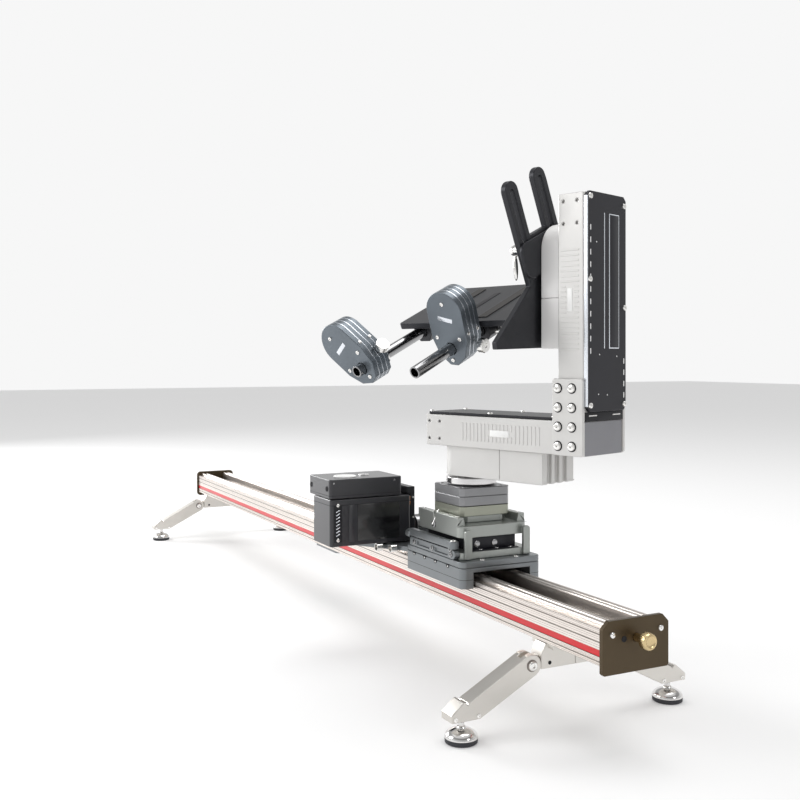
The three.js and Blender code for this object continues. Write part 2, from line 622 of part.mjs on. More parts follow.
function motorOutline() {
  const shape = new THREE.Shape();
  shape.moveTo(6, -22);
  shape.lineTo(20, -10);
  shape.lineTo(27, 12);
  shape.lineTo(27, MOTOR_HEAD);
  shape.absarc(0, MOTOR_HEAD, 27, 0, Math.PI, false);
  shape.lineTo(-27, 12);
  shape.lineTo(-20, -10);
  shape.lineTo(-6, -22);
  return shape;
}

function driveGear() {
  const teeth = 24;
  const points = [];
  for (let i = 0; i < teeth * 4; i += 1) {
    const radius = i % 4 < 2 ? 14 : 12.4;
    const angle = (i / (teeth * 4)) * 2 * Math.PI;
    points.push([radius * Math.cos(angle), radius * Math.sin(angle)]);
  }
  return alongY(outline(points), -4, 4);
}

// `reach` is how far in front of the tilt axis the motor sits on its rod.
function buildLensMotor(tilt, hand, u, reach, lean) {
  const motor = placed(tilt, u, -reach, -ROD_DROP);
  motor.rotation.y = THREE.MathUtils.degToRad(lean);
  const body = cut(alongY(motorOutline(), -MOTOR_HALF, MOTOR_HALF, 10),
    cylinder(ROD_RADIUS + GAP, -40, 40, 'y', 24),
    box(-30, 30, MOTOR_HALF - 5, MOTOR_HALF + 1, MOTOR_HEAD + 30, MOTOR_HEAD + 40));
  add(motor, `lens_motor_${hand}`, body, MOTOR_BLUE);
  add(placed(motor, 0, MOTOR_HALF + GAP + 4, MOTOR_HEAD), `drive_gear_${hand}`, driveGear(), BLACK_PLASTIC);
}

// ---------------------------------------------------------------- assembly
const slider = new THREE.Group();
buildRail(slider);
buildEnds(slider);
buildLegs(slider);
const carriage = buildCarriage(slider);
buildPower(carriage);
buildStage(carriage);
buildStack(carriage);
const head = buildPanHead(slider);
buildCameraMount(head);
slider.position.z = -PLATE_BOTTOM;

export default slider;
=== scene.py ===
"""Looks of a motorised camera slider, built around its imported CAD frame."""

import json
import logging
import math
from dataclasses import dataclass, field
from enum import Enum
from typing import Callable, Iterable, Optional, Sequence

import bmesh
import bpy
from mathutils import Matrix, Vector


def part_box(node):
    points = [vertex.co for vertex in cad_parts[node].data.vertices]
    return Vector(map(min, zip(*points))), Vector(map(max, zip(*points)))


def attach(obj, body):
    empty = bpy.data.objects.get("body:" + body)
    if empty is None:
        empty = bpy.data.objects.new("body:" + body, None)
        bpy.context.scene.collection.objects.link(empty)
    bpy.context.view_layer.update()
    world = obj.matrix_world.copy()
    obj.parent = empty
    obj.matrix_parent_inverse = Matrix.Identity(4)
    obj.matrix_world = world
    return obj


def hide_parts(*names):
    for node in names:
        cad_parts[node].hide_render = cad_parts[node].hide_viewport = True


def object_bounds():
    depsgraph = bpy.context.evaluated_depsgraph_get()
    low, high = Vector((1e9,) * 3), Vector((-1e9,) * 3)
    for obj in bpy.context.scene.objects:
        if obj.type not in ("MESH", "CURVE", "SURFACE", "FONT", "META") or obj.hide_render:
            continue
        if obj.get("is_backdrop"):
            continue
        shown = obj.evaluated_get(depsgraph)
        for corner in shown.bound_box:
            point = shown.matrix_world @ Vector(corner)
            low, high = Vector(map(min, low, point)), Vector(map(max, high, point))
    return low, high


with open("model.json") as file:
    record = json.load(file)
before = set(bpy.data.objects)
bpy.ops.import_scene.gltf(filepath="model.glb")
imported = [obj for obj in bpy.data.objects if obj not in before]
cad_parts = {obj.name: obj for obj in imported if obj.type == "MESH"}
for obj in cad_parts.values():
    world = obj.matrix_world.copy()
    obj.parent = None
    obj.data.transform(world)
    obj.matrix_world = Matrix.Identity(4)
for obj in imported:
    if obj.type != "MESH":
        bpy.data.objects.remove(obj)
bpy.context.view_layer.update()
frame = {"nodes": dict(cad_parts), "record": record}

LOG = logging.getLogger("slider")
MM = 0.001
SHARP_ANGLE = math.radians(32)
PointList = Sequence[tuple[float, float, float]]


# ------------------------------------------------------------------ finishes
class Grain(Enum):
    """The direction in which a surface's fine lines run."""

    NONE = (1.0, 1.0, 1.0)
    ALONG_X = (0.012, 1.0, 1.0)
    FLAT = (0.25, 0.25, 1.0)


@dataclass(frozen=True)
class Finish:
    """One surface finish: its colour, gloss and fine texture, all procedural.

    The grain is a fine noise on object coordinates, stretched along the grain's direction.
    """

    name: str
    color: tuple[float, float, float]
    roughness: float
    metallic: float
    grain: Grain = Grain.NONE
    grain_scale: float = 1400.0
    depth_mm: float = 0.02
    uneven: float = 0.06
    mottle: float = 0.07
    coat: float = 0.0

    def build(self) -> bpy.types.Material:
        """Makes the Blender material.

        Returns:
            The material, ready to be assigned.
        """
        made = bpy.data.materials.new(self.name)
        made.use_nodes = True
        nodes = made.node_tree.nodes
        shader = nodes["Principled BSDF"]
        shader.inputs["Metallic"].default_value = self.metallic
        shader.inputs["Coat Weight"].default_value = self.coat
        shader.inputs["Coat Roughness"].default_value = 0.25
        place = nodes.new("ShaderNodeTexCoord")
        stretch = nodes.new("ShaderNodeMapping")
        stretch.inputs["Scale"].default_value = self.grain.value
        self._link(made, place.outputs["Object"], stretch.inputs["Vector"])
        fine = self._noise(made, self.grain_scale, 3.0)
        self._link(made, stretch.outputs["Vector"], fine.inputs["Vector"])
        broad = self._noise(made, 18.0, 4.0)
        self._link(made, stretch.outputs["Vector"], broad.inputs["Vector"])
        self._color(made, shader, broad)
        self._gloss(made, shader, fine)
        self._relief(made, shader, fine)
        return made

    @staticmethod
    def _link(made: bpy.types.Material, start: bpy.types.NodeSocket, end: bpy.types.NodeSocket) -> None:
        """Joins two sockets of the material's node tree."""
        made.node_tree.links.new(start, end)

    @staticmethod
    def _noise(made: bpy.types.Material, scale: float, detail: float) -> bpy.types.Node:
        """Makes a noise texture of the given scale and detail."""
        noise = made.node_tree.nodes.new("ShaderNodeTexNoise")
        noise.inputs["Scale"].default_value = scale
        noise.inputs["Detail"].default_value = detail
        return noise

    def _color(self, made: bpy.types.Material, shader: bpy.types.Node, broad: bpy.types.Node) -> None:
        """Varies the base colour a little over broad patches."""
        ramp = made.node_tree.nodes.new("ShaderNodeValToRGB")
        low, high = ramp.color_ramp.elements
        low.position, high.position = 0.3, 0.7
        low.color = (*[c * (1 - self.mottle) for c in self.color], 1)
        high.color = (*[min(1.0, c * (1 + self.mottle)) for c in self.color], 1)
        self._link(made, broad.outputs["Fac"], ramp.inputs["Fac"])
        self._link(made, ramp.outputs["Color"], shader.inputs["Base Color"])

    def _gloss(self, made: bpy.types.Material, shader: bpy.types.Node, fine: bpy.types.Node) -> None:
        """Varies the roughness with the grain."""
        spread = made.node_tree.nodes.new("ShaderNodeMapRange")
        spread.inputs["To Min"].default_value = max(0.02, self.roughness - self.uneven)
        spread.inputs["To Max"].default_value = self.roughness + self.uneven
        self._link(made, fine.outputs["Fac"], spread.inputs["Value"])
        self._link(made, spread.outputs["Result"], shader.inputs["Roughness"])

    def _relief(self, made: bpy.types.Material, shader: bpy.types.Node, fine: bpy.types.Node) -> None:
        """Raises the grain as a very shallow relief."""
        bump = made.node_tree.nodes.new("ShaderNodeBump")
        bump.inputs["Strength"].default_value = 0.35
        bump.inputs["Distance"].default_value = self.depth_mm * MM
        self._link(made, fine.outputs["Fac"], bump.inputs["Height"])
        self._link(made, bump.outputs["Normal"], shader.inputs["Normal"])


FINISHES = {
    "rail_aluminium": Finish("rail_aluminium", (0.80, 0.745, 0.70), 0.34, 1.0, Grain.ALONG_X, 700, 0.05, 0.12, 0.14),
    "rail_shadow": Finish("rail_shadow", (0.30, 0.27, 0.25), 0.4, 1.0, Grain.ALONG_X, 700, 0.05, 0.1, 0.2),
    "dark_channel": Finish("dark_channel", (0.085, 0.070, 0.056), 0.32, 0.85, Grain.ALONG_X, 500, 0.05, 0.1, 0.2),
    "red_insert": Finish("red_insert", (0.60, 0.0, 0.006), 0.34, 0.0, Grain.ALONG_X, 400, 0.02, 0.08, 0.1, 0.3),
    "end_plate_bronze": Finish("end_plate_bronze", (0.085, 0.062, 0.036), 0.40, 0.75, depth_mm=0.03, mottle=0.1),
    "nickel": Finish("nickel", (0.70, 0.675, 0.635), 0.36, 1.0, Grain.FLAT, 900, 0.03, 0.08, 0.08),
    "brass_knob": Finish("brass_knob", (0.72, 0.56, 0.31), 0.22, 1.0, mottle=0.14),
    "belt_rubber": Finish("belt_rubber", (0.030, 0.028, 0.026), 0.7, 0.0, depth_mm=0.08),
    "foot_chrome": Finish("foot_chrome", (0.74, 0.73, 0.72), 0.09, 1.0, mottle=0.05, depth_mm=0.01),
    "foot_rubber": Finish("foot_rubber", (0.030, 0.030, 0.036), 0.6, 0.0, depth_mm=0.08),
    "grey_anodised": Finish("grey_anodised", (0.225, 0.240, 0.250), 0.36, 0.75, depth_mm=0.03, mottle=0.06),
    "stage_grey": Finish("stage_grey", (0.37, 0.388, 0.368), 0.36, 0.75, depth_mm=0.03, mottle=0.06),
    "stack_green": Finish("stack_green", (0.380, 0.392, 0.325), 0.36, 0.7, depth_mm=0.03),
    "stack_grey": Finish("stack_grey", (0.30, 0.302, 0.312), 0.38, 0.7, depth_mm=0.03),
    "black_plastic": Finish("black_plastic", (0.026, 0.026, 0.031), 0.30, 0.0, depth_mm=0.03, coat=0.3),
    "gloss_black": Finish("gloss_black", (0.006, 0.006, 0.007), 0.14, 0.0, depth_mm=0.01, uneven=0.03, coat=0.5),
    "head_grey": Finish("head_grey", (0.66, 0.652, 0.638), 0.40, 0.45, depth_mm=0.03, mottle=0.025),
    # A paler copy of head_grey: painted light on the tilt housings.
    "head_painted_light": Finish("head_painted_light", (0.90, 0.89, 0.88), 0.5, 0.0, depth_mm=0.03, mottle=0.025),
    # A darker copy of head_grey: painted shade on the horizontal arm's end face.
    "head_end_painted_shade": Finish("head_end_painted_shade", (0.245, 0.245, 0.262), 0.42, 0.45, depth_mm=0.03, mottle=0.04),
    "cover_black": Finish("cover_black", (0.011, 0.011, 0.016), 0.42, 0.25, depth_mm=0.04, mottle=0.12),
    "charcoal": Finish("charcoal", (0.030, 0.031, 0.036), 0.34, 0.5, depth_mm=0.03, mottle=0.1),
    "disc_silver": Finish("disc_silver", (0.70, 0.69, 0.69), 0.16, 1.0, Grain.FLAT, 500, 0.03, 0.08),
    "motor_blue": Finish("motor_blue", (0.150, 0.172, 0.195), 0.34, 0.7, depth_mm=0.03, mottle=0.1),
    "steel": Finish("steel", (0.34, 0.34, 0.345), 0.16, 1.0, mottle=0.1),
    "bolt_steel": Finish("bolt_steel", (0.88, 0.87, 0.85), 0.14, 1.0, mottle=0.05),
    # Silver trim and labels, and also the painted highlights on the tower cover's edge and the battery's grip ribs.
    "silver_trim_and_highlight": Finish("silver_trim_and_highlight", (0.76, 0.79, 0.84), 0.26, 0.9),
    "label_grey": Finish("label_grey", (0.92, 0.92, 0.91), 0.45, 0.1, mottle=0.03),
    "copper": Finish("copper", (0.80, 0.36, 0.18), 0.25, 1.0),
    # Dark joint lines and hole marks, and the painted shadow rings round the joint-plate bolts.
    "dark_joint_and_shadow": Finish("dark_joint_and_shadow", (0.010, 0.010, 0.013), 0.6, 0.2),
}
_BUILT: dict[str, bpy.types.Material] = {}


def finish(name: str) -> bpy.types.Material:
    """Gives the material of a finish, built once."""
    if name not in _BUILT:
        _BUILT[name] = FINISHES[name].build()
    return _BUILT[name]


# ------------------------------------------------------------------ places
RECORD = frame["record"]
BODY_OF = {node: body for body, nodes in RECORD["behaviour"]["bodies"].items() for node in nodes}
SLOT_OF = {part["node"]: part["material_slot"] for part in RECORD["subparts"]}
JOINTS = {joint["name"]: joint for joint in RECORD["behaviour"]["joints"]}


@dataclass(frozen=True)
class Span:
    """The lowest and highest corners of a node in a local frame, in millimetres."""

    low: Vector
    high: Vector

    @property
    def middle(self) -> Vector:
        """The middle of the span."""
        return (self.low + self.high) / 2


@dataclass(frozen=True)
class Place:
    """A local frame of the part: millimetres in, the row frame's metres out."""

    matrix: Matrix

    def span(self, node: str) -> Span:
        """Measures a CAD node in this frame.

        Args:
            node: The CAD node's name.
        Returns:
            Its lowest and highest corners.
        """
        back = self.matrix.inverted()
        corners = [back @ v.co for v in frame["nodes"][node].data.vertices]
        low = Vector([min(c[i] for c in corners) for i in range(3)])
        high = Vector([max(c[i] for c in corners) for i in range(3)])
        return Span(low, high)


def scaled(matrix: Matrix) -> Matrix:
    """Adds the step from millimetres to metres to a placing matrix."""
    return matrix @ Matrix.Scale(MM, 4)


def head_place() -> Place:
    """The pan head's frame: x along the arm, -y where the lens looks, z up."""
    pan = Vector(JOINTS["pan"]["pos_m"])
    arm = Vector(JOINTS["tilt"]["axis"])
    turn = Matrix.Rotation(math.atan2(arm.y, arm.x), 4, "Z")
    return Place(scaled(Matrix.Translation((pan.x, pan.y, 0)) @ turn))


def tilt_place() -> Place:
    """The camera mount's frame: x along the tilt axis, -y where the lens looks, z up."""
    pan = Vector(JOINTS["pan"]["pos_m"])
    across = Vector(JOINTS["tilt"]["axis"]).normalized()
    up = Vector(JOINTS["bracket_height"]["axis"]).normalized()
    back = up.cross(across)
    turn = Matrix((across, back, up)).transposed().to_4x4()
    origin = Vector((pan.x, pan.y, JOINTS["tilt"]["pos_m"][2]))
    return Place(scaled(Matrix.Translation(origin) @ turn))


ROW = Place(scaled(Matrix.Identity(4)))
HEAD = head_place()
TILT = tilt_place()


def motor_place(hand: str) -> Place:
    """A lens motor's frame: the rod's axis at the origin, z towards the drive gear."""
    origin = Vector(JOINTS[f"lens_motor_swing_{hand}"]["pos_m"])
    gear = Vector(JOINTS[f"drive_gear_spin_{hand}"]["pos_m"])
    forward = Vector(JOINTS[f"lens_motor_swing_{hand}"]["axis"]).normalized()
    lift = gear - origin
    up = (lift - forward * lift.dot(forward)).normalized()
    across = (-forward).cross(up)
    turn = Matrix((across, -forward, up)).transposed().to_4x4()
    return Place(scaled(Matrix.Translation(origin) @ turn))


def facing(axis: str) -> Matrix:
    """Turns +Z to an axis such as "-Y"."""
    turns = {"+Z": (0, "X"), "-Z": (180, "X"), "-Y": (90, "X"), "+Y": (-90, "X"),
             "+X": (90, "Y"), "-X": (-90, "Y")}
    angle, about = turns[axis]
    return Matrix.Rotation(math.radians(angle), 4, about)


# ------------------------------------------------------------------ mesh making
def new_piece(name: str, bm: bmesh.types.BMesh, place: Place, look: str, body: str) -> bpy.types.Object:
    """Turns a bmesh in millimetres into a finished piece that rides on a body.

    Args:
        name: The piece's name.
        bm: Its shape in the place's frame; it is freed.
        place: The frame it was built in.
        look: The finish's name.
        body: The CAD body it moves with.
    Returns:
        The piece's object.
    """
    bmesh.ops.transform(bm, matrix=place.matrix, verts=bm.verts)
    bmesh.ops.recalc_face_normals(bm, faces=bm.faces)
    mesh = bpy.data.meshes.new(name)
    bm.to_mesh(mesh)
    bm.free()
    mesh.polygons.foreach_set("use_smooth", [True] * len(mesh.polygons))
    mesh.set_sharp_from_angle(angle=SHARP_ANGLE)
    mesh.materials.append(finish(look))
    piece = bpy.data.objects.new(name, mesh)
    bpy.context.scene.collection.objects.link(piece)
    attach(piece, body)
    LOG.info("made %s", name)
    return piece


def repeat(shape: bmesh.types.BMesh, matrices: Iterable[Matrix]) -> bmesh.types.BMesh:
    """Copies one small shape to many places; the shape is freed.

    Args:
        shape: The shape to copy.
        matrices: Where each copy goes.
    Returns:
        A bmesh that holds every copy.
    """
    held = bpy.data.meshes.new("shape")
    shape.to_mesh(held)
    shape.free()
    whole = bmesh.new()
    for matrix in matrices:
        before = len(whole.verts)
        whole.from_mesh(held)
        whole.verts.ensure_lookup_table()
        bmesh.ops.transform(whole, matrix=matrix, verts=whole.verts[before:])
    bpy.data.meshes.remove(held)
    return whole


def rounded_block(size: tuple[float, float, float], edge: float = 0.4, steps: int = 2) -> bmesh.types.BMesh:
    """A block about the origin with softened edges.

    Args:
        size: Its full lengths.
        edge: How far the edges are rounded.
        steps: How many steps each round has.
    Returns:
        The block.
    """
    bm = bmesh.new()
    bmesh.ops.create_cube(bm, size=1.0)
    bmesh.ops.scale(bm, vec=size, verts=bm.verts)
    if edge > 0:
        bmesh.ops.bevel(bm, geom=bm.edges, offset=edge, segments=steps, profile=0.5,
                        affect="EDGES", material=-1, clamp_overlap=True)
    return bm


def disc(radius: float, height: float, edge: float = 0.4, sides: int = 32) -> bmesh.types.BMesh:
    """A round plate from z 0 to its height, its upper rim rounded.

    Args:
        radius: The plate's radius.
        height: Its height.
        edge: How far the rim is rounded.
        sides: How many sides stand for the circle.
    Returns:
        The plate.
    """
    bm = bmesh.new()
    bmesh.ops.create_cone(bm, cap_ends=True, segments=sides, radius1=radius, radius2=radius, depth=height)
    bmesh.ops.translate(bm, vec=(0, 0, height / 2), verts=bm.verts)
    rim = [e for e in bm.edges if all(v.co.z > height * 0.99 for v in e.verts)]
    bmesh.ops.bevel(bm, geom=rim, offset=edge, segments=2, profile=0.5, affect="EDGES",
                    material=-1, clamp_overlap=True)
    return bm


def button_screw(radius: float, height: float) -> bmesh.types.BMesh:
    """A button-head screw with a sunk drive, its seat at z 0."""
    bm = disc(radius, height, height * 0.6, 18)
    top = max(bm.faces, key=lambda f: (f.calc_center_median().z, f.calc_area()))
    bmesh.ops.inset_region(bm, faces=[top], thickness=max(0.1, radius * 0.3), use_even_offset=True)
    sunk = bmesh.ops.extrude_discrete_faces(bm, faces=[top])["faces"]
    verts = list({v for f in sunk for v in f.verts})
    bmesh.ops.translate(bm, vec=(0, 0, -height * 0.55), verts=verts)
    bmesh.ops.delete(bm, geom=[f for f in [top] if f.is_valid], context="FACES_ONLY")
    return bm


def turned(profile: Sequence[tuple[float, float]], sides: int = 48) -> bmesh.types.BMesh:
    """Spins an outline about Z.

    Args:
        profile: [radius, height] pairs that start and end on the axis.
        sides: How many steps the spin has.
    Returns:
        The closed turned shape.
    """
    bm = bmesh.new()
    verts = [bm.verts.new((radius, 0, height)) for radius, height in profile]
    edges = [bm.edges.new(pair) for pair in zip(verts, verts[1:])]
    bmesh.ops.spin(bm, geom=verts + edges, cent=(0, 0, 0), axis=(0, 0, 1),
                   angle=math.tau, steps=sides, use_merge=True)
    bmesh.ops.remove_doubles(bm, verts=bm.verts, dist=1e-4)
    return bm


def screws(name: str, spots: PointList, axis: str, place: Place, body: str,
           radius: float = 2.4, height: float = 1.4, look: str = "bolt_steel") -> bpy.types.Object:
    """One piece that holds a row of like button screws.

    Args:
        name: The piece's name.
        spots: Each screw's seat, in millimetres.
        axis: The way their heads face.
        place: The frame of the spots.
        body: The body they ride on.
        radius: The heads' radius.
        height: The heads' height.
        look: Their finish.
    Returns:
        The piece.
    """
    turn = facing(axis)
    whole = repeat(button_screw(radius, height), [Matrix.Translation(s) @ turn for s in spots])
    return new_piece(name, whole, place, look, body)


def bars(name: str, spots: PointList, size: tuple[float, float, float], place: Place, body: str,
         look: str, edge: float = 0.2) -> bpy.types.Object:
    """One piece that holds a row of like small bars, centred on their spots."""
    whole = repeat(rounded_block(size, edge, 1), [Matrix.Translation(s) for s in spots])
    return new_piece(name, whole, place, look, body)


def merged_copy(node: str) -> bmesh.types.BMesh:
    """A copy of a CAD node's mesh with its doubles merged and its flat faces joined."""
    bm = bmesh.new()
    bm.from_mesh(frame["nodes"][node].data)
    bmesh.ops.remove_doubles(bm, verts=bm.verts, dist=2e-6)
    bmesh.ops.dissolve_limit(bm, angle_limit=math.radians(0.6), verts=bm.verts, edges=bm.edges)
    return bm


def softened(node: str, edge_mm: float = 0.6,
             paint: Optional[Callable[[bmesh.types.BMesh], None]] = None,
             looks: Sequence[str] = ()) -> bpy.types.Object:
    """Stands for a CAD node with the same shape and softly rounded edges.

    Args:
        node: The CAD node.
        edge_mm: The width of its edge rounds.
        paint: Sets the material index of the faces that have another finish.
        looks: The finishes, first the main one; the node's slot if empty.
    Returns:
        The piece.
    """
    bm = merged_copy(node)
    if paint:
        paint(bm)
    mesh = bpy.data.meshes.new(f"{node}_finished")
    bm.to_mesh(mesh)
    bm.free()
    mesh.shade_smooth()
    for look in looks or [SLOT_OF[node]]:
        mesh.materials.append(finish(look))
    piece = bpy.data.objects.new(f"{node}_finished", mesh)
    bpy.context.scene.collection.objects.link(piece)
    rounds = piece.modifiers.new("edge_rounds", "BEVEL")
    rounds.width = edge_mm * MM
    rounds.segments = 2
    rounds.limit_method = "ANGLE"
    rounds.angle_limit = SHARP_ANGLE
    rounds.use_clamp_overlap = False
    flats = piece.modifiers.new("flat_faces", "WEIGHTED_NORMAL")
    flats.mode = "FACE_AREA"
    flats.weight = 80
    flats.keep_sharp = True
    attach(piece, BODY_OF[node])
    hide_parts(node)
    return piece


def seam_band(name: str, node: str, place: Place, axis: int, at: float, width: float, look: str,
              grow: float = 0.12) -> bpy.types.Object:
    """A thin band round a node, such as a joint line or a light edge line.

    Args:
        name: The piece's name.
        node: The node it runs round.
        place: The frame that axis and at are given in.
        axis: The axis across the band, 0 to 2.
        at: The middle of the band along that axis.
        width: The band's width.
        look: Its finish.
        grow: How far it stands out.
    Returns:
        The piece.
    """
    bm = merged_copy(node)
    bmesh.ops.transform(bm, matrix=place.matrix.inverted(), verts=bm.verts)
    normal = Vector([1.0 if i == axis else 0.0 for i in range(3)])
    for side in (-1, 1):
        geom = bm.verts[:] + bm.edges[:] + bm.faces[:]
        bmesh.ops.bisect_plane(bm, geom=geom, dist=1e-5, plane_co=normal * (at + side * width / 2),
                               plane_no=normal * side, clear_outer=True)
        rim = [e for e in bm.edges if e.is_boundary]
        bmesh.ops.holes_fill(bm, edges=rim, sides=0)
    skin = [f for f in bm.faces if abs(f.normal[axis]) < 0.5]
    flats = [f for f in bm.faces if abs(f.normal[axis]) >= 0.5]
    bmesh.ops.delete(bm, geom=flats, context="FACES_ONLY")
    bmesh.ops.recalc_face_normals(bm, faces=[f for f in skin if f.is_valid])
    raised = bmesh.ops.solidify(bm, geom=bm.faces[:], thickness=-grow)
    del raised
    return new_piece(name, bm, place, look, BODY_OF[node])


# ------------------------------------------------------------------ rail and legs
@dataclass
class Rail:
    """The extruded rail with its stripes, belt, end plates and tension knob."""

    channel_half: float = 18.0
    channel_depth: float = 15.0
    shoulder_drop: float = 5.0
    wide_grooves: tuple[float, ...] = (10.75, 18.75, 38.75)
    fine_grooves: tuple[float, ...] = (6.8, 9.0, 13.5, 15.6, 21.9, 24.2, 35.6, 37.0, 41.2)
    stripe: tuple[float, float] = (26.5, 34.0)
    knob_sides: int = 60
    knurl_depth: float = 0.35
    bolt_radius: float = 3.4

    def build(self) -> None:
        """Builds every piece of the rail."""
        self._extrusion()
        for node in ("red_stripe_left", "red_stripe_right"):
            softened(node, 0.5)
        self._belt()
        for node in ("end_plate_near", "end_plate_far", "tripod_plate"):
            softened(node, 0.7)
        self._end_bolts()
        self._tension_knob()

    def _half_section(self, low: float, top: float, half: float) -> list[tuple[float, float]]:
        """Gives half of the rail's section, from the channel outwards and down.

        Args:
            low: The underside's height.
            top: The ridges' height.
            half: Half the rail's width.
        Returns:
            [y, z] pairs for y over 0.
        """
        points = [(self.channel_half, top - self.channel_depth)]
        for inner, outer in ((self.channel_half, 24.0), (26.0, 33.0)):
            radius = (outer - inner) / 2
            centre = (inner + radius, top - radius)
            points += [(centre[0] - radius * math.cos(a), centre[1] + radius * math.sin(a))
                       for a in (math.pi * i / 8 for i in range(9))]
        shoulder = top - self.shoulder_drop
        points += [(33.0, shoulder), (35.4, shoulder), (35.4, shoulder - 0.5), (36.1, shoulder - 0.5),
                   (36.1, shoulder), (half - 0.6, shoulder), (half, shoulder - 0.6)]
        grooves = [(drop, 1.5, 1.2) for drop in self.wide_grooves]
        grooves += [(drop, 0.45, 0.35) for drop in self.fine_grooves]
        grooves.append((sum(self.stripe) / 2, self.stripe[1] - self.stripe[0], 2.5))
        for drop, width, depth in sorted(grooves):
            high, floor = top - drop + width / 2, top - drop - width / 2
            points += [(half, high), (half - depth, high), (half - depth, floor), (half, floor)]
        return points + [(half, low + 0.5), (half - 0.5, low), (14, low), (14, low + 4)]

    def _extrusion(self) -> None:
        """Draws the rail's section and extrudes it to the rail's length."""
        span = ROW.span("rail")
        half_section = self._half_section(span.low.z, span.high.z, span.high.y)
        outline = [(-y, z) for y, z in reversed(half_section)] + half_section
        bm = bmesh.new()
        verts = [bm.verts.new((span.low.x, y, z)) for y, z in outline]
        face = bm.faces.new(verts)
        pushed = bmesh.ops.extrude_face_region(bm, geom=[face], use_keep_orig=True)["geom"]
        moved = [v for v in pushed if isinstance(v, bmesh.types.BMVert)]
        bmesh.ops.translate(bm, vec=(span.high.x - span.low.x, 0, 0), verts=moved)
        self._paint(bm, span)
        piece = new_piece("rail_extrusion", bm, ROW, "rail_aluminium", "rail_frame")
        for look in ("dark_channel", "rail_shadow"):
            piece.data.materials.append(finish(look))
        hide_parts("rail")

    def _paint(self, bm: bmesh.types.BMesh, span: Span) -> None:
        """Marks the channel's floor darker, and the grooves' floors with painted shade."""
        for face in bm.faces:
            centre = face.calc_center_median()
            if abs(centre.y) < 1 and centre.z > span.low.z + 8:
                face.material_index = 1
            elif 24 < abs(centre.y) < 26 or abs(span.high.y - abs(centre.y) - 0.8) < 0.6:
                face.material_index = 2

    @staticmethod
    def _belt() -> None:
        """Gives the belt its teeth across the rail's length."""
        span = ROW.span("drive_belt")
        softened("drive_belt", 0.2)
        pitch = 5.0
        count = int((span.high.x - span.low.x) / pitch) - 1
        spots = [(span.low.x + pitch * (i + 1), 0, span.high.z + 0.3) for i in range(count)]
        bars("belt_teeth", spots, (2.4, 9.4, 1.0), ROW, "rail_frame", "belt_rubber", 0)

    def _end_bolts(self) -> None:
        """Puts the bolts into both end plates, and the small set screw beside the knob."""
        near = ROW.span("end_plate_near")
        far = ROW.span("end_plate_far")
        height = near.high.z - 14
        spots = [(near.high.x - 0.3, y, height) for y in (-31.5, 31.5)]
        screws("near_end_bolts", spots, "+X", ROW, "rail_frame", self.bolt_radius, 2.6)
        spots = [(far.low.x + 0.3, y, height) for y in (-31.5, 31.5)]
        screws("far_end_bolts", spots, "-X", ROW, "rail_frame", self.bolt_radius, 2.0)
        socket = turned([(0, 0.1), (2.6, 0.1), (2.6, 0.4), (3.2, 0.4), (3.2, 0), (0, 0)], 24)
        place = Matrix.Translation((near.high.x, -16, near.low.z + 35)) @ facing("+X")
        bmesh.ops.transform(socket, matrix=place, verts=socket.verts)
        new_piece("near_set_screw", socket, ROW, "dark_joint_and_shadow", "rail_frame")

    def _tension_knob(self) -> None:
        """Makes the knurled thumb knob."""
        span = ROW.span("belt_tension_knob")
        reach = span.high.x - ROW.span("end_plate_near").high.x
        profile = [(0, -4.5), (4, -4.5), (4, 0), (4.4, 0.3), (4.4, 10.4), (5.4, 11.2), (6.4, 12.2),
                   (8.1, 12.8), (8.9, 13.6), (8.9, reach - 2.2), (8.0, reach - 0.9), (6.0, reach - 0.5),
                   (5.0, reach - 1.2), (2.6, reach - 1.4), (0, reach - 1.4)]
        bm = turned(profile, self.knob_sides)
        for vert in bm.verts:
            radius = math.hypot(vert.co.x, vert.co.y)
            step = round(math.atan2(vert.co.y, vert.co.x) / math.tau * self.knob_sides)
            if radius > 8.5 and step % 2:
                vert.co.x *= 1 - self.knurl_depth / radius
                vert.co.y *= 1 - self.knurl_depth / radius
        centre = span.middle
        face = ROW.span("end_plate_near").high.x
        move = Matrix.Translation((face, centre.y, centre.z)) @ facing("+X")
        bmesh.ops.transform(bm, matrix=move, verts=bm.verts)
        piece = new_piece("tension_knob_knurled", bm, ROW, "brass_knob", "tension_knob")
        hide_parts("belt_tension_knob")


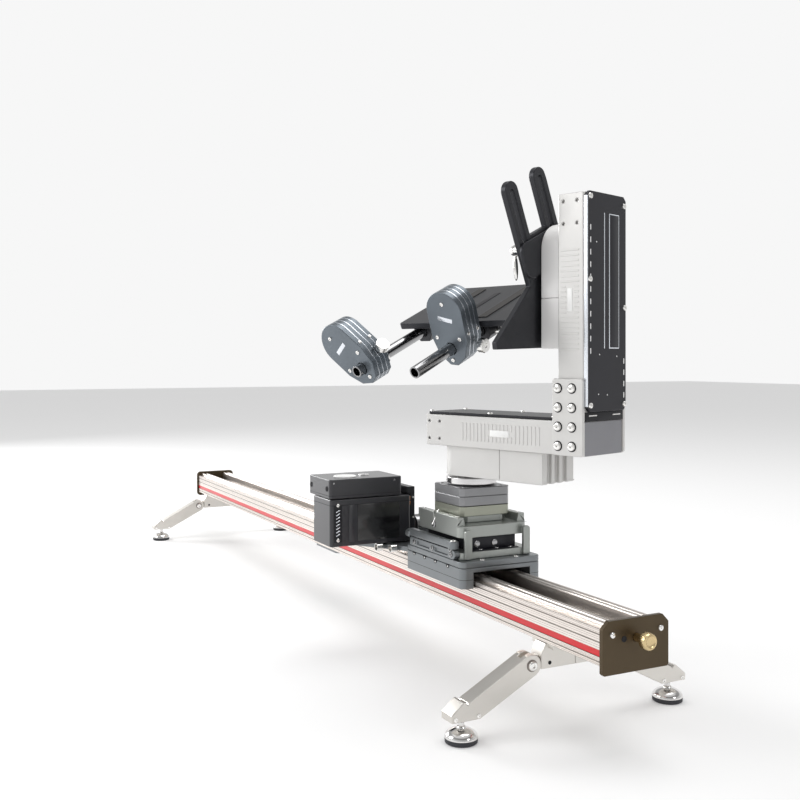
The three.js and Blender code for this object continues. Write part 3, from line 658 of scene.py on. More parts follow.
@dataclass
class Legs:
    """The four folding legs with their brackets and levelling feet."""

    pad_height: float = 5.0
    names: tuple[str, ...] = ("near_left", "near_right", "far_left", "far_right")

    def build(self) -> None:
        """Builds every leg."""
        for name in self.names:
            softened(f"leg_bracket_{name}", 0.8)
            softened(f"leg_arm_{name}", 0.9)
            self._foot(name)
            self._leg_bolts(name)

    def _foot(self, name: str) -> None:
        """Makes a chrome dome on a rubber pad with a thin threaded stem."""
        span = ROW.span(f"foot_{name}")
        centre, radius = span.middle, (span.high.x - span.low.x) / 2
        base, top = span.low.z, span.high.z - span.low.z
        move = Matrix.Translation((centre.x, centre.y, base))
        dome = [(radius * math.cos(a), 6.0 + 10.0 * math.sin(a))
                for a in (math.radians(6 + 66 * i / 8) for i in range(9))]
        bell = turned([(0, 5.2), (radius - 0.5, 5.2), (radius, 5.7)] + dome
                      + [(5.4, 16.2), (4.6, 17.6), (3.4, 18), (3.4, 21.5), (3.9, 22), (3.9, top), (0, top)])
        bmesh.ops.transform(bell, matrix=move, verts=bell.verts)
        piece = new_piece(f"foot_bell_{name}", bell, ROW, "foot_chrome", f"foot_screw_{name}")
        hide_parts(f"foot_{name}")
        pad = turned([(0, 0), (radius - 1.8, 0), (radius - 0.4, 1.0), (radius - 0.2, self.pad_height),
                      (0, self.pad_height)])
        bmesh.ops.transform(pad, matrix=move, verts=pad.verts)
        new_piece(f"foot_pad_{name}", pad, ROW, "foot_rubber", f"foot_screw_{name}")

    def _leg_bolts(self, name: str) -> None:
        """Puts the hinge bolt, its washer and the small end screws on a leg."""
        pivot = Vector(JOINTS[f"leg_fold_{name}"]["pos_m"]) / MM
        span = ROW.span(f"leg_arm_{name}")
        side = -1 if name.endswith("left") else 1
        foot = ROW.span(f"foot_{name}").middle
        body = f"leg_{name}"
        for end, face in (("+X", span.high.x), ("-X", span.low.x)):
            sign = 1 if end == "+X" else -1
            tag = f"{name}_{'front' if sign > 0 else 'back'}"
            washer = disc(6.6, 0.9, 0.3)
            seat = Matrix.Translation((face, pivot.y, pivot.z)) @ facing(end)
            bmesh.ops.transform(washer, matrix=seat, verts=washer.verts)
            new_piece(f"hinge_washer_{tag}", washer, ROW, "rail_shadow", body)
            screws(f"hinge_bolt_{tag}", [(face + sign * 0.8, pivot.y, pivot.z)], end, ROW, body, 5.4, 2.4)
            spots = [(face - sign * 0.1, foot.y + side * dy, span.low.z + 3.6) for dy in (-15, 13)]
            screws(f"block_screws_{tag}", spots, end, ROW, body, 2.6, 1.1)
        bracket = ROW.span(f"leg_bracket_{name}")
        hole = disc(2.2, 0.25, 0.05, 20)
        seat = Matrix.Translation((pivot.x + 10, pivot.y - side * 24, pivot.z)) @ facing("+X")
        bmesh.ops.transform(hole, matrix=seat, verts=hole.verts)
        new_piece(f"bracket_hole_{name}", hole, ROW, "dark_joint_and_shadow", "rail_frame")
        spots = [(pivot.x + dx, side * 30, bracket.high.z - 4.9) for dx in (-15, 15)]
        screws(f"bracket_screws_{name}", spots, "-Z", ROW, "rail_frame", 2.8, 1.4)


# ------------------------------------------------------------------ carriage and stage
@dataclass
class Carriage:
    """The carriage, its quick-release stage and the square stack under the pan disc."""

    screw_radius: float = 2.6

    def build(self) -> None:
        """Builds the carriage and everything bolted to it but the power pack."""
        for node, edge in (("carriage_body", 0.7), ("carriage_top_plate", 0.9), ("power_shelf", 0.7),
                           ("clamp_base", 0.4), ("clamp_side_plate", 0.7), ("clamp_lever", 0.9),
                           ("clamp_top", 0.8), ("slide_motor", 0.7)):
            softened(node, edge)
        softened("stack_lower", 0.7, self._paint_stack, ("stage_grey", "stack_green"))
        softened("stack_upper", 0.5, looks=("stack_grey",))
        softened("pan_disc", 0.4)
        lower, upper = ROW.span("stack_lower"), ROW.span("stack_upper")
        for name, node, height in (("stack_seam_1", "stack_lower", lower.high.z - 12.8),
                                   ("stack_seam_2", "stack_lower", lower.high.z - 0.4),
                                   ("stack_seam_3", "stack_upper", upper.low.z + 11.8),
                                   ("stack_seam_4", "stack_upper", upper.high.z - 0.5)):
            seam_band(name, node, ROW, 2, height, 0.5, "dark_joint_and_shadow", 0.05)
        for number in range(1, 5):
            softened(f"roller_{number}", 0.3)
        softened("drive_pulley", 0.1)
        self._fasteners()
        self._stage_core()
        self._skirt_ports()
        self._cam_lever()
        self._connectors()
        seam_band("skirt_seam", "carriage_body", ROW, 2, ROW.span("carriage_body").low.z + 11, 0.5,
                  "dark_joint_and_shadow", 0.05)

    @staticmethod
    def _stage_core() -> None:
        """Fills the stage's inside with a dark block that carries two bright discs."""
        top, slab = ROW.span("clamp_top"), ROW.span("clamp_side_plate").low.z + 8.3
        gap = 16.2
        core = rounded_block((102, 72, gap), 1.0)
        bmesh.ops.translate(core, vec=(top.middle.x - 1, 0, slab + gap / 2), verts=core.verts)
        new_piece("stage_core", core, ROW, "cover_black", "carriage")
        lid = rounded_block((8, 72, 0.8), 0.3)
        bmesh.ops.translate(lid, vec=(top.middle.x + 54.5, 0, slab + 0.1), verts=lid.verts)
        new_piece("stage_floor_strip", lid, ROW, "cover_black", "carriage")
        spots = [Matrix.Translation((top.middle.x + 49.8, y, slab + 7)) @ facing("+X") for y in (-22, 4)]
        new_piece("stage_discs", repeat(disc(4.2, 1.4, 0.4), spots), ROW, "steel", "carriage")

    @staticmethod
    def _skirt_ports() -> None:
        """Lines the four half-round notches under the top plate's front edge, with a bright pin in each."""
        body = ROW.span("carriage_body")
        seats = [Matrix.Translation((body.middle.x + dx, body.low.y, body.high.z - 0.2)) @ facing("-Y")
                 for dx in (-50, -21, 8, 40)]
        ports = repeat(disc(4.0, 0.35, 0.1, 24), seats)
        bmesh.ops.bisect_plane(ports, geom=ports.verts[:] + ports.edges[:] + ports.faces[:], dist=1e-5,
                               plane_co=(0, 0, body.high.z - 0.2), plane_no=(0, 0, 1), clear_outer=True)
        bmesh.ops.holes_fill(ports, edges=[e for e in ports.edges if e.is_boundary], sides=0)
        new_piece("skirt_ports", ports, ROW, "dark_joint_and_shadow", "carriage")
        pins = [Matrix.Translation((1.0, 0, -1.7)) @ seat @ Matrix.Translation((0, 0, 0.25)) for seat in seats]
        new_piece("skirt_pins", repeat(disc(1.2, 0.6, 0.2, 16), pins), ROW, "bolt_steel", "carriage")

    def _fasteners(self) -> None:
        """Puts the screws on the plates, the side plate and inside the stage."""
        top = ROW.span("carriage_top_plate")
        mid = top.middle
        end = top.high.x - 5.5
        spots = [(x, mid.y + dy, top.high.z - 0.2) for x in (end, 2 * mid.x - end) for dy in (-26, 24)]
        screws("top_plate_screws", spots, "+Z", ROW, "carriage", 3.2, 1.4)
        side = ROW.span("clamp_side_plate")
        row = [(side.low.x + x, side.low.y + 0.1, side.low.z + 5.5) for x in (14, 63, 111)]
        screws("side_plate_screws", row, "-Y", ROW, "carriage", 3.4, 1.5, "steel")
        lever = ROW.span("clamp_lever")
        pin = [(lever.high.x - 7, lever.low.y + 3.2, lever.middle.z)]
        screws("lever_screw", pin, "-Y", ROW, "quick_release", 3.6, 1.6, "steel")
        screws("lever_pin", [(lever.high.x - 7, lever.middle.y, lever.high.z - 0.1)], "+Z", ROW,
               "quick_release", 4.2, 1.6)
        base = ROW.span("clamp_base")
        slab = ROW.span("clamp_side_plate").low.z + 7.9
        inside = [(base.high.x - 14, y, slab) for y in (-34, -18, 6, 26, 36)]
        screws("slab_screws", inside, "+Z", ROW, "carriage", 3.0, 1.4)
        plate = ROW.span("clamp_top")
        jaw = [(plate.low.x + x, y, plate.high.z - 0.1) for x in (14, 40, 76, 98)
               for y in (plate.low.y + 5, plate.high.y - 5)]
        screws("jaw_screws", jaw, "+Z", ROW, "carriage", 2.0, 0.9)
        stack = ROW.span("stack_upper")
        corners = [(stack.middle.x + dx, stack.middle.y + dy, stack.high.z - 0.1)
                   for dx in (-28, 28) for dy in (-28, 28)]
        screws("stack_screws", corners, "+Z", ROW, "carriage", 2.4, 0.6, "steel")

    @staticmethod
    def _paint_stack(bm: bmesh.types.BMesh) -> None:
        """Gives the wide upper layer of the lower stack its greenish finish."""
        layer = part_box("stack_lower")[1][2] - 12.9 * MM
        for face in bm.faces:
            if face.calc_center_median().z > layer:
                face.material_index = 1

    @staticmethod
    def _cam_lever() -> None:
        """Makes the small bright cam lever in the gap between the two side jaws."""
        plate = ROW.span("clamp_top")
        centre = Vector((plate.middle.x - 10.2, plate.low.y + 3.5, plate.high.z - 8))
        arm = rounded_block((2.6, 5.2, 22), 0.9, 3)
        bmesh.ops.transform(arm, matrix=Matrix.Translation(centre) @ Matrix.Rotation(math.radians(-28), 4, "X"),
                            verts=arm.verts)
        new_piece("cam_lever_arm", arm, ROW, "bolt_steel", "carriage")
        boss = disc(4.6, 3.4, 0.6)
        bmesh.ops.transform(boss, matrix=Matrix.Translation(centre + Vector((0, -1.5, -8))) @ facing("-Y"),
                            verts=boss.verts)
        new_piece("cam_lever_boss", boss, ROW, "steel", "carriage")

    @staticmethod
    def _connectors() -> None:
        """Makes the two bright sockets under the shelf's edge."""
        shelf = ROW.span("power_shelf")
        for number, (dx, dy) in enumerate(((62, 33), (79, 46)), start=1):
            shell = turned([(0, 0), (4.6, 0), (5.4, 0.8), (5.4, 9), (4.4, 9), (4.4, 2.2), (0, 2.2)], 32)
            spot = (shelf.low.x + dx, shelf.low.y + dy, shelf.high.z - 3.2)
            bmesh.ops.transform(shell, matrix=Matrix.Translation(spot) @ facing("-Y"), verts=shell.verts)
            new_piece(f"power_socket_{number}", shell, ROW, "bolt_steel", "carriage")


# ------------------------------------------------------------------ power pack
@dataclass
class PowerPack:
    """The battery on its plate and the controller above it."""

    def build(self) -> None:
        """Builds the battery, its plate and the controller."""
        softened("battery", 1.6)
        softened("battery_plate", 0.6)
        softened("controller_box", 1.2)
        self._battery_details()
        self._controller_details()

    @staticmethod
    def _battery_details() -> None:
        """Adds the grip ribs, silver for painted highlights, the inset face, the joint line and the copper contact."""
        box = ROW.span("battery")
        corner = box.low.y + 11
        # The grip ribs are bright silver, which paints their highlights.
        ribs = [Matrix.Translation((box.high.x - 0.2, corner, box.low.z + 16 + 4.6 * i))
                @ Matrix.Rotation(math.radians(24), 4, "X") for i in range(8)]
        new_piece("battery_grip_ribs", repeat(rounded_block((2.0, 6.5, 1.6), 0.5), ribs), ROW, "silver_trim_and_highlight",
                  "battery_pack")
        grip = [(box.high.x - 0.1, corner, box.low.z + z) for z in (9, 56)]
        screws("battery_screws", grip, "+X", ROW, "battery_pack", 2.6, 1.2)
        for name, look, low, high, proud in (("grip", "dark_joint_and_shadow", 5, 17, 0.4), ("band", "black_plastic", 27, 36, 1.0),
                                             ("window", "gloss_black", 40, 104, 0.7)):
            panel = rounded_block((proud * 2, high - low, 50), 0.4)
            bmesh.ops.translate(panel, vec=(box.high.x, box.low.y + (low + high) / 2, box.low.z + 31), verts=panel.verts)
            new_piece(f"battery_{name}_panel", panel, ROW, look, "battery_pack")
        seam_band("battery_joint", "battery", ROW, 2, box.high.z - 8, 0.8, "dark_joint_and_shadow", 0.06)
        plate = ROW.span("battery_plate")
        spots = [(plate.high.x + 0.2, plate.middle.y - 3, plate.high.z - 16 - 7 * i) for i in range(2)]
        bars("plate_contacts", spots, (1.6, 2.6, 4.6), ROW, "carriage", "copper", 0.4)
        spots = [(plate.high.x - 0.1, plate.middle.y + 2.6, plate.low.z + z) for z in (14, 34, 62)]
        screws("battery_plate_screws", spots, "+X", ROW, "carriage", 1.7, 1.0)

    @staticmethod
    def _controller_details() -> None:
        """Adds the dial, the small button, the joint line and the end sockets."""
        box = ROW.span("controller_box")
        dial = turned([(0, 0), (16, 0), (16, 0.8), (15.2, 1.6), (13.6, 1.6), (13, 0.9), (4, 0.9), (3.4, 1.4), (0, 1.4)])
        spot = Matrix.Translation((box.middle.x + 8, box.middle.y - 19.5, box.high.z - 0.1))
        bmesh.ops.transform(dial, matrix=spot, verts=dial.verts)
        new_piece("controller_dial", dial, ROW, "label_grey", "carriage")
        button = disc(7.5, 1.4, 0.5)
        spot = Matrix.Translation((box.high.x - 5 - 30, box.middle.y + 12, box.high.z - 0.1))
        bmesh.ops.transform(button, matrix=spot, verts=button.verts)
        new_piece("controller_button", button, ROW, "disc_silver", "carriage")
        seam_band("controller_joint", "controller_box", ROW, 2, box.low.z + 4, 0.6, "dark_joint_and_shadow", 0.05)
        for number, dx in enumerate((-29, 27), start=1):
            ring = turned([(0, 0.2), (2.6, 0.2), (2.6, 0.8), (3.6, 0.8), (3.6, 0), (0, 0)], 28)
            spot = (box.middle.x + dx, box.low.y + 0.1, box.middle.z)
            bmesh.ops.transform(ring, matrix=Matrix.Translation(spot) @ facing("-Y"), verts=ring.verts)
            new_piece(f"controller_socket_{number}", ring, ROW, "dark_joint_and_shadow", "carriage")
        corners = [(box.high.x - 0.1, y, box.middle.z + 8) for y in (box.low.y + 6, box.high.y - 12)]
        screws("controller_screws", corners, "+X", ROW, "carriage", 1.5, 0.7, "steel")


# ------------------------------------------------------------------ pan head and arms
@dataclass
class PanHead:
    """The L-shaped arm with its covers, gear housings, joint plates and bolts."""

    rib_pitch: float = 5.8
    rib_width: float = 2.2
    rib_height: float = 0.5
    bolt_radius: float = 5.0
    grey_nodes: tuple[str, ...] = field(default=(
        "pan_gear_housing", "pan_motor_housing", "horizontal_arm", "vertical_arm", "joint_plate_front",
        "joint_plate_rear", "tilt_gear_housing", "tilt_motor_housing"))

    def build(self) -> None:
        """Builds the whole pan head."""
        for node in self.grey_nodes:
            # The tilt housings get a paler copy of the head's grey, which paints light on them.
            main = "head_painted_light" if node.startswith("tilt_") else "head_grey"
            # The horizontal arm's end face gets its darker grey as painted shade.
            softened(node, 1.0, self._paint_end_shade if node == "horizontal_arm" else None, (main, "head_end_painted_shade"))
        softened("horizontal_arm_cover", 0.7)
        softened("vertical_arm_cover", 0.9)
        self._joint_bolts()
        self._cover_gap()
        self._horizontal_panel()
        self._vertical_panel()
        self._cover_screws()
        self._cover_details()
        self._housing_details()

    @staticmethod
    def _paint_end_shade(bm: bmesh.types.BMesh) -> None:
        """Paints shade on the arm's end face, under the cover, with a darker copy of the head's grey."""
        away = HEAD.matrix.to_3x3() @ Vector((1, 0, 0))
        away.normalize()
        for face in bm.faces:
            if face.normal.dot(away) > 0.9:
                face.material_index = 1

    def _joint_bolts(self) -> None:
        """Puts two rows of four bolts on each joint plate, each ringed by a dark disc of painted shadow."""
        for node, axis in (("joint_plate_front", "-Y"), ("joint_plate_rear", "+Y")):
            span = HEAD.span(node)
            face = span.low.y if axis == "-Y" else span.high.y
            inset = 0.1 if axis == "-Y" else -0.1
            step = (span.high.z - span.low.z) / 4
            spots = [(x, face + inset, span.low.z + step * (row + 0.5))
                     for x in (span.low.x + 8.5, span.low.x + 28) for row in range(4)]
            # Each bolt sits on a thin dark disc, wider than its head, that paints the shadow round it.
            shadow_rings = [Matrix.Translation((x, face, z)) @ facing(axis) for x, _, z in spots]
            new_piece(f"{node}_rings", repeat(disc(self.bolt_radius + 1.1, 0.35, 0.1), shadow_rings), HEAD,
                      "dark_joint_and_shadow", "pan_head")
            screws(f"{node}_bolts", spots, axis, HEAD, "pan_head", self.bolt_radius, 3.4)

    @staticmethod
    def _cover_gap() -> None:
        """Fills the step between the two arms' end faces with a dark strip and two bright tabs, and paints a highlight
        line down the cover's front edge.
        """
        cover, arm = HEAD.span("vertical_arm_cover"), HEAD.span("vertical_arm")
        height = cover.low.z - arm.low.z - 0.6
        strip = rounded_block((2.4, 2 * cover.high.y - 3, height), 0.3)
        bmesh.ops.translate(strip, vec=(arm.high.x, 0, arm.low.z + height / 2 + 0.2), verts=strip.verts)
        new_piece("end_strip", strip, HEAD, "dark_joint_and_shadow", "pan_head")
        spots = [(arm.high.x + 1.2, y, arm.low.z + height * 0.62) for y in (-24, 25)]
        bars("end_strip_tabs", spots, (0.8, 16, 1.8), HEAD, "pan_head", "bolt_steel", 0.3)
        # A thin silver strip down the cover's front edge: a painted highlight.
        edge = rounded_block((5.2, 0.7, cover.high.z - cover.low.z - 12), 0.3)
        bmesh.ops.translate(edge, vec=(cover.middle.x, cover.low.y, cover.middle.z), verts=edge.verts)
        new_piece("cover_edge_painted_highlight", edge, HEAD, "silver_trim_and_highlight", "pan_head")

    def _horizontal_panel(self) -> None:
        """Adds the raised ribs and the blank label on the horizontal arm's front."""
        span = HEAD.span("horizontal_arm")
        start, end = 20.0, 141.0
        low, high = span.low.z + 8.8, span.high.z - 8.8
        count = int((end - start) / self.rib_pitch)
        middle = (start + end) / 2
        label_half = 19.0
        short, tall = [], []
        for i in range(count + 1):
            x = start + i * (end - start) / count
            (short if abs(x - middle) < label_half else tall).append(x)
        face = span.low.y
        for number, (rows, size, heights) in enumerate((
                (tall, high - low, ((low + high) / 2,)),
                (short, 8.0, (low + 4, high - 4))), start=1):
            spots = [(x, face, z) for x in rows for z in heights]
            bars(f"arm_ribs_{number}", spots, (self.rib_width, self.rib_height * 2, size), HEAD,
                 "pan_head", "head_grey", 0.3)
        label = rounded_block((30, 1.2, 8), 0.5)
        bmesh.ops.translate(label, vec=(middle, face, (low + high) / 2), verts=label.verts)
        new_piece("arm_blank_label", label, HEAD, "label_grey", "pan_head")

    def _vertical_panel(self) -> None:
        """Adds the raised ribs and the blank label on the vertical arm's front."""
        span = HEAD.span("vertical_arm")
        low, high = span.high.z - 181, span.high.z - 66
        middle, face = (low + high) / 2, span.low.y
        x0, x1 = span.low.x + 5, span.high.x - 7
        count = int((high - low) / self.rib_pitch)
        label_half = 17.0
        short, tall = [], []
        for i in range(count + 1):
            z = low + i * (high - low) / count
            (short if abs(z - middle) < label_half else tall).append(z)
        spots = [((x0 + x1) / 2, face, z) for z in tall]
        bars("tower_ribs_1", spots, (x1 - x0, self.rib_height * 2, self.rib_width), HEAD, "pan_head",
             "head_grey", 0.3)
        spots = [(x, face, z) for z in short for x in (x0 + 3.5, x1 - 3.5)]
        bars("tower_ribs_2", spots, (7, self.rib_height * 2, self.rib_width), HEAD, "pan_head",
             "head_grey", 0.3)
        label = rounded_block((7, 1.2, 27), 0.5)
        bmesh.ops.translate(label, vec=((x0 + x1) / 2, face, middle), verts=label.verts)
        new_piece("tower_blank_label", label, HEAD, "label_grey", "pan_head")

    @staticmethod
    def _cover_screws() -> None:
        """Puts the six button screws on each cover."""
        cover = HEAD.span("vertical_arm_cover")
        length = cover.high.z - cover.low.z
        spots = [(cover.high.x - 0.1, cover.low.y + dy, cover.low.z + share * length)
                 for dy, share in ((5, 0.975), (75, 0.955), (4, 0.60), (76, 0.48), (5, 0.03), (75, 0.03))]
        screws("tower_cover_screws", spots, "+X", HEAD, "pan_head", 3.6, 2.4)
        lid = HEAD.span("horizontal_arm_cover")
        spots = [(lid.low.x + share * (lid.high.x - lid.low.x), y, lid.high.z - 0.1)
                 for share in (0.03, 0.5, 0.97) for y in (lid.low.y + 5, lid.high.y - 5)]
        screws("arm_cover_screws", spots, "+Z", HEAD, "pan_head", 3.2, 2.0)

    @staticmethod
    def _cover_details() -> None:
        """Adds the vent dashes, the silver line and the plain inlay on the tower's cover."""
        cover = HEAD.span("vertical_arm_cover")
        face = cover.high.x
        spots = [(face, cover.low.y + 6, cover.high.z - 42 - 14.2 * i) for i in range(11)]
        spots += [(face, cover.high.y - 5, cover.low.z + 18 + 13.5 * i) for i in range(4)]
        bars("vent_dashes", spots, (0.5, 1.6, 6.4), HEAD, "pan_head", "label_grey", 0.15)
        spots = [(face, cover.low.y + y, cover.low.z + z) for y, z in ((22, 20), (40, 19), (24, 66), (60, 64), (18, 196))]
        bars("cover_dots", spots, (0.5, 1.5, 1.5), HEAD, "pan_head", "label_grey", 0.15)
        line = rounded_block((0.7, 1.4, 158), 0.2)
        bmesh.ops.translate(line, vec=(face, cover.low.y + 34, cover.high.z - 102), verts=line.verts)
        new_piece("cover_silver_line", line, HEAD, "silver_trim_and_highlight", "pan_head")
        border = rounded_block((0.9, 21, 158), 0.4)
        bmesh.ops.translate(border, vec=(face, cover.low.y + 54, cover.high.z - 102), verts=border.verts)
        new_piece("cover_inlay_border", border, HEAD, "silver_trim_and_highlight", "pan_head")
        inlay = rounded_block((1.3, 18.6, 155.6), 0.4)
        bmesh.ops.translate(inlay, vec=(face, cover.low.y + 54, cover.high.z - 102), verts=inlay.verts)
        new_piece("cover_inlay", inlay, HEAD, "cover_black", "pan_head")

    @staticmethod
    def _housing_details() -> None:
        """Adds the lip under the pan housings and the foot of the tilt housing."""
        gear = HEAD.span("pan_gear_housing")
        seam_band("pan_gear_lip", "pan_gear_housing", HEAD, 2, gear.low.z + 1.6, 1.4, "head_grey", 0.5)
        seam_band("pan_motor_lip", "pan_motor_housing", HEAD, 2, gear.low.z + 1.6, 1.4, "head_grey", 0.5)
        motor = HEAD.span("tilt_motor_housing")
        foot = rounded_block((9, 26, 5), 1.0)
        bmesh.ops.translate(foot, vec=(motor.middle.x + 4, motor.middle.y, motor.low.z - 2.2), verts=foot.verts)
        new_piece("tilt_cable_gland", foot, HEAD, "black_plastic", "pan_head")
        spots = [(motor.low.x + 0.1, motor.middle.y + dy, motor.low.z + z)
                 for dy in (-26, 26) for z in (8, 52)]
        screws("tilt_housing_screws", spots, "-X", HEAD, "pan_head", 2.2, 1.2)


# ------------------------------------------------------------------ camera mount
@dataclass
class CameraMount:
    """The slotted bracket, the camera plate, the rods and the lock lever."""

    def build(self) -> None:
        """Builds the camera mount."""
        for node, edge in (("tilt_hub", 0.8), ("camera_bracket", 1.0), ("camera_plate", 1.0),
                           ("rod_clamp", 0.8), ("rod_left", 0.4), ("rod_right", 0.4)):
            softened(node, edge)
        self._bracket_screws()
        self._camera_plate_details()
        self._lock_lever()

    @staticmethod
    def _bracket_screws() -> None:
        """Puts the screws on the bracket's inner face and the rod clamp."""
        span = TILT.span("camera_bracket")
        face = span.low.x + 0.1
        spots = [(face, -62, -82), (face, -118, -68), (face, -20, -80), (face, -60, -52.5)]
        screws("bracket_screws", spots, "-X", TILT, "camera_mount", 3.6, 1.8)
        spots = [(face + 0.4, 9.5, z) for z in (2, 26)]
        screws("hub_screws", spots, "-X", TILT, "tilt_output", 5.0, 2.4, "steel")
        clamp = TILT.span("rod_clamp")
        spots = [(x, clamp.low.y + 0.1, clamp.high.z - 5.5) for x in (-30, -12, 12, 30)]
        screws("rod_clamp_screws", spots, "-Y", TILT, "camera_mount", 2.6, 1.6)
        knob = repeat(disc(7.0, 9.0, 1.0, 20), [
            Matrix.Translation((clamp.high.x - 0.2, clamp.middle.y, clamp.low.z + 9)) @ facing("+X"),
            Matrix.Translation((clamp.low.x + 0.2, clamp.middle.y, clamp.low.z + 9)) @ facing("-X")])
        new_piece("rod_clamp_knobs", knob, TILT, "bolt_steel", "camera_mount")

    @staticmethod
    def _camera_plate_details() -> None:
        """Adds the rubber strips and the camera screw on the plate's top."""
        plate = TILT.span("camera_plate")
        spots = [(plate.middle.x + dx, plate.middle.y, plate.high.z + 0.3) for dx in (-40, 40)]
        bars("plate_grip_strips", spots, (14, 104, 1.4), TILT, "camera_mount",
             "belt_rubber", 0.4)
        slot_cover = rounded_block((9, 70, 0.9), 0.3)
        bmesh.ops.translate(slot_cover, vec=(plate.middle.x, plate.middle.y, plate.high.z),
                            verts=slot_cover.verts)
        new_piece("camera_screw_slot", slot_cover, TILT, "dark_joint_and_shadow", "camera_mount")
        screws("camera_screw", [(plate.middle.x, plate.middle.y, plate.low.z + 0.1)], "-Z", TILT,
               "camera_mount", 8.0, 5.0, "steel")

    @staticmethod
    def _lock_lever() -> None:
        """Makes the ratchet lever that locks the bracket in its slot."""
        pivot = TILT.matrix.inverted() @ Vector(JOINTS["lock_lever_turn"]["pos_m"])
        face = TILT.span("camera_bracket").low.x - 0.3
        hub = turned([(0, -7), (3, -7), (3, 0), (8, 0), (8.4, 0.6), (8.4, 3), (7.2, 3.6), (7.2, 9), (6, 13.6),
                      (4.6, 15), (2.6, 15), (2.2, 13.8), (0, 13.8)], 36)
        move = Matrix.Translation((face, pivot.y, pivot.z)) @ facing("-X")
        bmesh.ops.transform(hub, matrix=move, verts=hub.verts)
        piece = new_piece("lock_lever_hub", hub, TILT, "bolt_steel", "lever")
        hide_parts("lock_lever")
        arm = bmesh.new()
        bmesh.ops.create_uvsphere(arm, u_segments=20, v_segments=12, radius=1.0)
        bmesh.ops.scale(arm, vec=(3.0, 3.4, 16), verts=arm.verts)
        tilt = Matrix.Rotation(math.radians(-20), 4, "X") @ Matrix.Translation((0, 0, -20))
        move = Matrix.Translation((face - 11, pivot.y, pivot.z)) @ tilt
        bmesh.ops.transform(arm, matrix=move, verts=arm.verts)
        new_piece("lock_lever_arm", arm, TILT, "bolt_steel", "lever")


@dataclass
class LensMotor:
    """One lens motor that swings on its rod, with its drive gear."""

    hand: str
    head_height: float = 46.0

    def build(self) -> None:
        """Builds the motor, its edge lines, screws, label and gear."""
        node, body = f"lens_motor_{self.hand}", f"motor_{self.hand}"
        place = motor_place(self.hand)
        softened(node, 0.9)
        softened(f"drive_gear_{self.hand}", 0.15)
        span = place.span(node)
        depth = span.high.y - span.low.y
        for number, share in enumerate((0.27, 0.52, 0.77), start=1):
            seam_band(f"edge_line_{self.hand}_{number}", node, place, 1, span.low.y + share * depth, 0.9,
                      "silver_trim_and_highlight", 0.1)
        face = span.low.y + 0.1
        spots = [(0, face, self.head_height + 12), (-18, face, 14), (17, face, 14), (0, face, -15)]
        screws(f"motor_screws_{self.hand}", spots, "-Y", place, body, 2.8, 1.6)
        spots = [(span.high.x - 0.1, span.low.y + depth * share, 20) for share in (0.2, 0.8)]
        screws(f"motor_side_screws_{self.hand}", spots, "+X", place, body, 2.4, 1.4)
        label = rounded_block((22, 0.8, 5.5), 0.3)
        turn = Matrix.Translation((0, face, self.head_height - 8)) @ Matrix.Rotation(math.radians(8), 4, "Y")
        bmesh.ops.transform(label, matrix=turn, verts=label.verts)
        new_piece(f"motor_blank_label_{self.hand}", label, place, "silver_trim_and_highlight", body)
        knob = turned([(0, 0), (4, 0), (4, 3), (8.4, 3), (9, 3.6), (9, 10), (8.2, 11), (3, 11), (2.4, 10.2), (0, 10.2)], 28)
        side = Matrix.Translation((span.high.x - 1.5, span.high.y - 8, -2)) @ facing("+X")
        bmesh.ops.transform(knob, matrix=side, verts=knob.verts)
        new_piece(f"motor_clamp_knob_{self.hand}", knob, place, "bolt_steel", body)
        collar = turned([(8.0, 0), (12.5, 0), (13, 0.8), (13, 9), (12, 10), (8.0, 10), (8.0, 0)], 40)
        back = Matrix.Translation((0, span.high.y, 0)) @ facing("+Y")
        bmesh.ops.transform(collar, matrix=back, verts=collar.verts)
        new_piece(f"rod_collar_{self.hand}", collar, place, "bolt_steel", body)


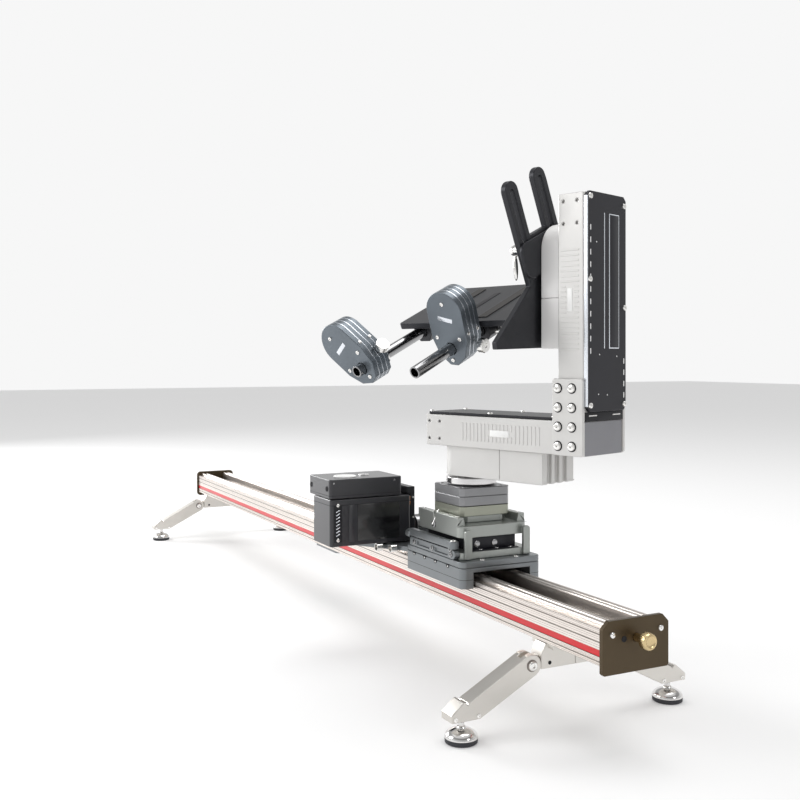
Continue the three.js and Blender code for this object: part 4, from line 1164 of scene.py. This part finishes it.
# ------------------------------------------------------------------ stage, light and camera
@dataclass
class Studio:
    """The pale floor, the soft lights and the camera."""

    focal_mm: float = 44.8
    eye_mm: tuple[float, float, float] = (1548.7, -678.8, 406.5)
    heading_degrees: float = 63.0
    shift: float = -0.052
    softboxes: tuple[tuple[str, tuple[float, float, float], float, float], ...] = (
        ("key_softbox", (-0.6, -3.0, 1.7), 1.6, 30.0),
        ("side_softbox", (3.4, 1.0, 1.4), 0.9, 11.0),
        ("left_softbox", (-2.8, -1.4, 1.2), 1.2, 55.0),
        ("top_softbox", (0.2, 0.6, 3.2), 2.0, 34.0))

    def build(self) -> None:
        """Builds the floor, world, lights and camera."""
        bpy.context.scene.view_settings.view_transform = "Standard"
        self.floor_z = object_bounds()[0][2]
        self._floor()
        self._world()
        self._lights()
        self._camera()

    def _floor(self) -> None:
        """Lays a plain pale floor under the feet."""
        bm = bmesh.new()
        bmesh.ops.create_grid(bm, x_segments=1, y_segments=1, size=12.0)
        bmesh.ops.translate(bm, vec=(0, 0, self.floor_z), verts=bm.verts)
        mesh = bpy.data.meshes.new("floor")
        bm.to_mesh(mesh)
        bm.free()
        look = bpy.data.materials.new("pale_floor")
        look.use_nodes = True
        shader = look.node_tree.nodes["Principled BSDF"]
        shader.inputs["Base Color"].default_value = (0.80, 0.80, 0.80, 1)
        shader.inputs["Roughness"].default_value = 0.9
        shader.inputs["Specular IOR Level"].default_value = 0.1
        shader.inputs["Emission Color"].default_value = (1, 1, 1, 1)
        shader.inputs["Emission Strength"].default_value = 0.16
        mesh.materials.append(look)
        floor = bpy.data.objects.new("floor", mesh)
        bpy.context.scene.collection.objects.link(floor)
        floor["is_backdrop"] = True

    def _world(self) -> None:
        """Sets a pale backdrop, and a sky that is bright above and darker at the sides for the reflections."""
        world = bpy.data.worlds.new("studio")
        bpy.context.scene.world = world
        world.use_nodes = True
        nodes, links = world.node_tree.nodes, world.node_tree.links
        sky = nodes["Background"]
        place = nodes.new("ShaderNodeTexCoord")
        split = nodes.new("ShaderNodeSeparateXYZ")
        ramp = nodes.new("ShaderNodeValToRGB")
        stops = ((0.0, 0.93), (0.37, 0.93), (0.5, 0.42), (0.72, 0.42), (0.85, 1.0))
        while len(ramp.color_ramp.elements) < len(stops):
            ramp.color_ramp.elements.new(0.5)
        for element, (position, level) in zip(ramp.color_ramp.elements, stops):
            element.position, element.color = position, (level, level, level, 1)
        fade = nodes.new("ShaderNodeMapRange")
        for socket, value in (("From Min", -0.45), ("From Max", 0.9), ("To Min", 1.0), ("To Max", 0.55)):
            fade.inputs[socket].default_value = value
        links.new(place.outputs["Generated"], split.inputs["Vector"])
        links.new(split.outputs["Z"], ramp.inputs["Fac"])
        links.new(split.outputs["X"], fade.inputs["Value"])
        links.new(ramp.outputs["Color"], sky.inputs["Color"])
        links.new(fade.outputs["Result"], sky.inputs["Strength"])

    def _lights(self) -> None:
        """Hangs the soft boxes round the object."""
        aim = Vector((0.3, 0.0, 0.2))
        for name, spot, size, power in self.softboxes:
            light = bpy.data.lights.new(name, "AREA")
            light.size = size
            light.energy = power
            lamp = bpy.data.objects.new(name, light)
            lamp.location = spot
            lamp.rotation_euler = (aim - Vector(spot)).to_track_quat("-Z", "Y").to_euler()
            bpy.context.scene.collection.objects.link(lamp)

    def _camera(self) -> None:
        """Places the camera level, at the height of the horizon."""
        data = bpy.data.cameras.new("camera")
        data.lens = self.focal_mm
        data.sensor_width = 36
        data.shift_y = self.shift
        data.clip_end = 50
        camera = bpy.data.objects.new("camera", data)
        x, y, height = self.eye_mm
        camera.location = (x * MM, y * MM, height * MM + self.floor_z)
        camera.rotation_euler = (math.pi / 2, 0, math.radians(self.heading_degrees))
        bpy.context.scene.collection.objects.link(camera)
        bpy.context.scene.camera = camera


def write_sizes() -> None:
    """Updates the view layer."""
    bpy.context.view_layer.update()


def main() -> None:
    """Builds the studio and every sub-assembly in order."""
    logging.basicConfig(level=logging.INFO, format="%(name)s: %(message)s")
    Studio().build()
    for assembly in (Rail(), Legs(), Carriage(), PowerPack(), PanHead(), CameraMount(),
                     LensMotor("right"), LensMotor("left")):
        assembly.build()
        LOG.info("%s finished", type(assembly).__name__)
    write_sizes()


if __name__ == "__main__":
    main()
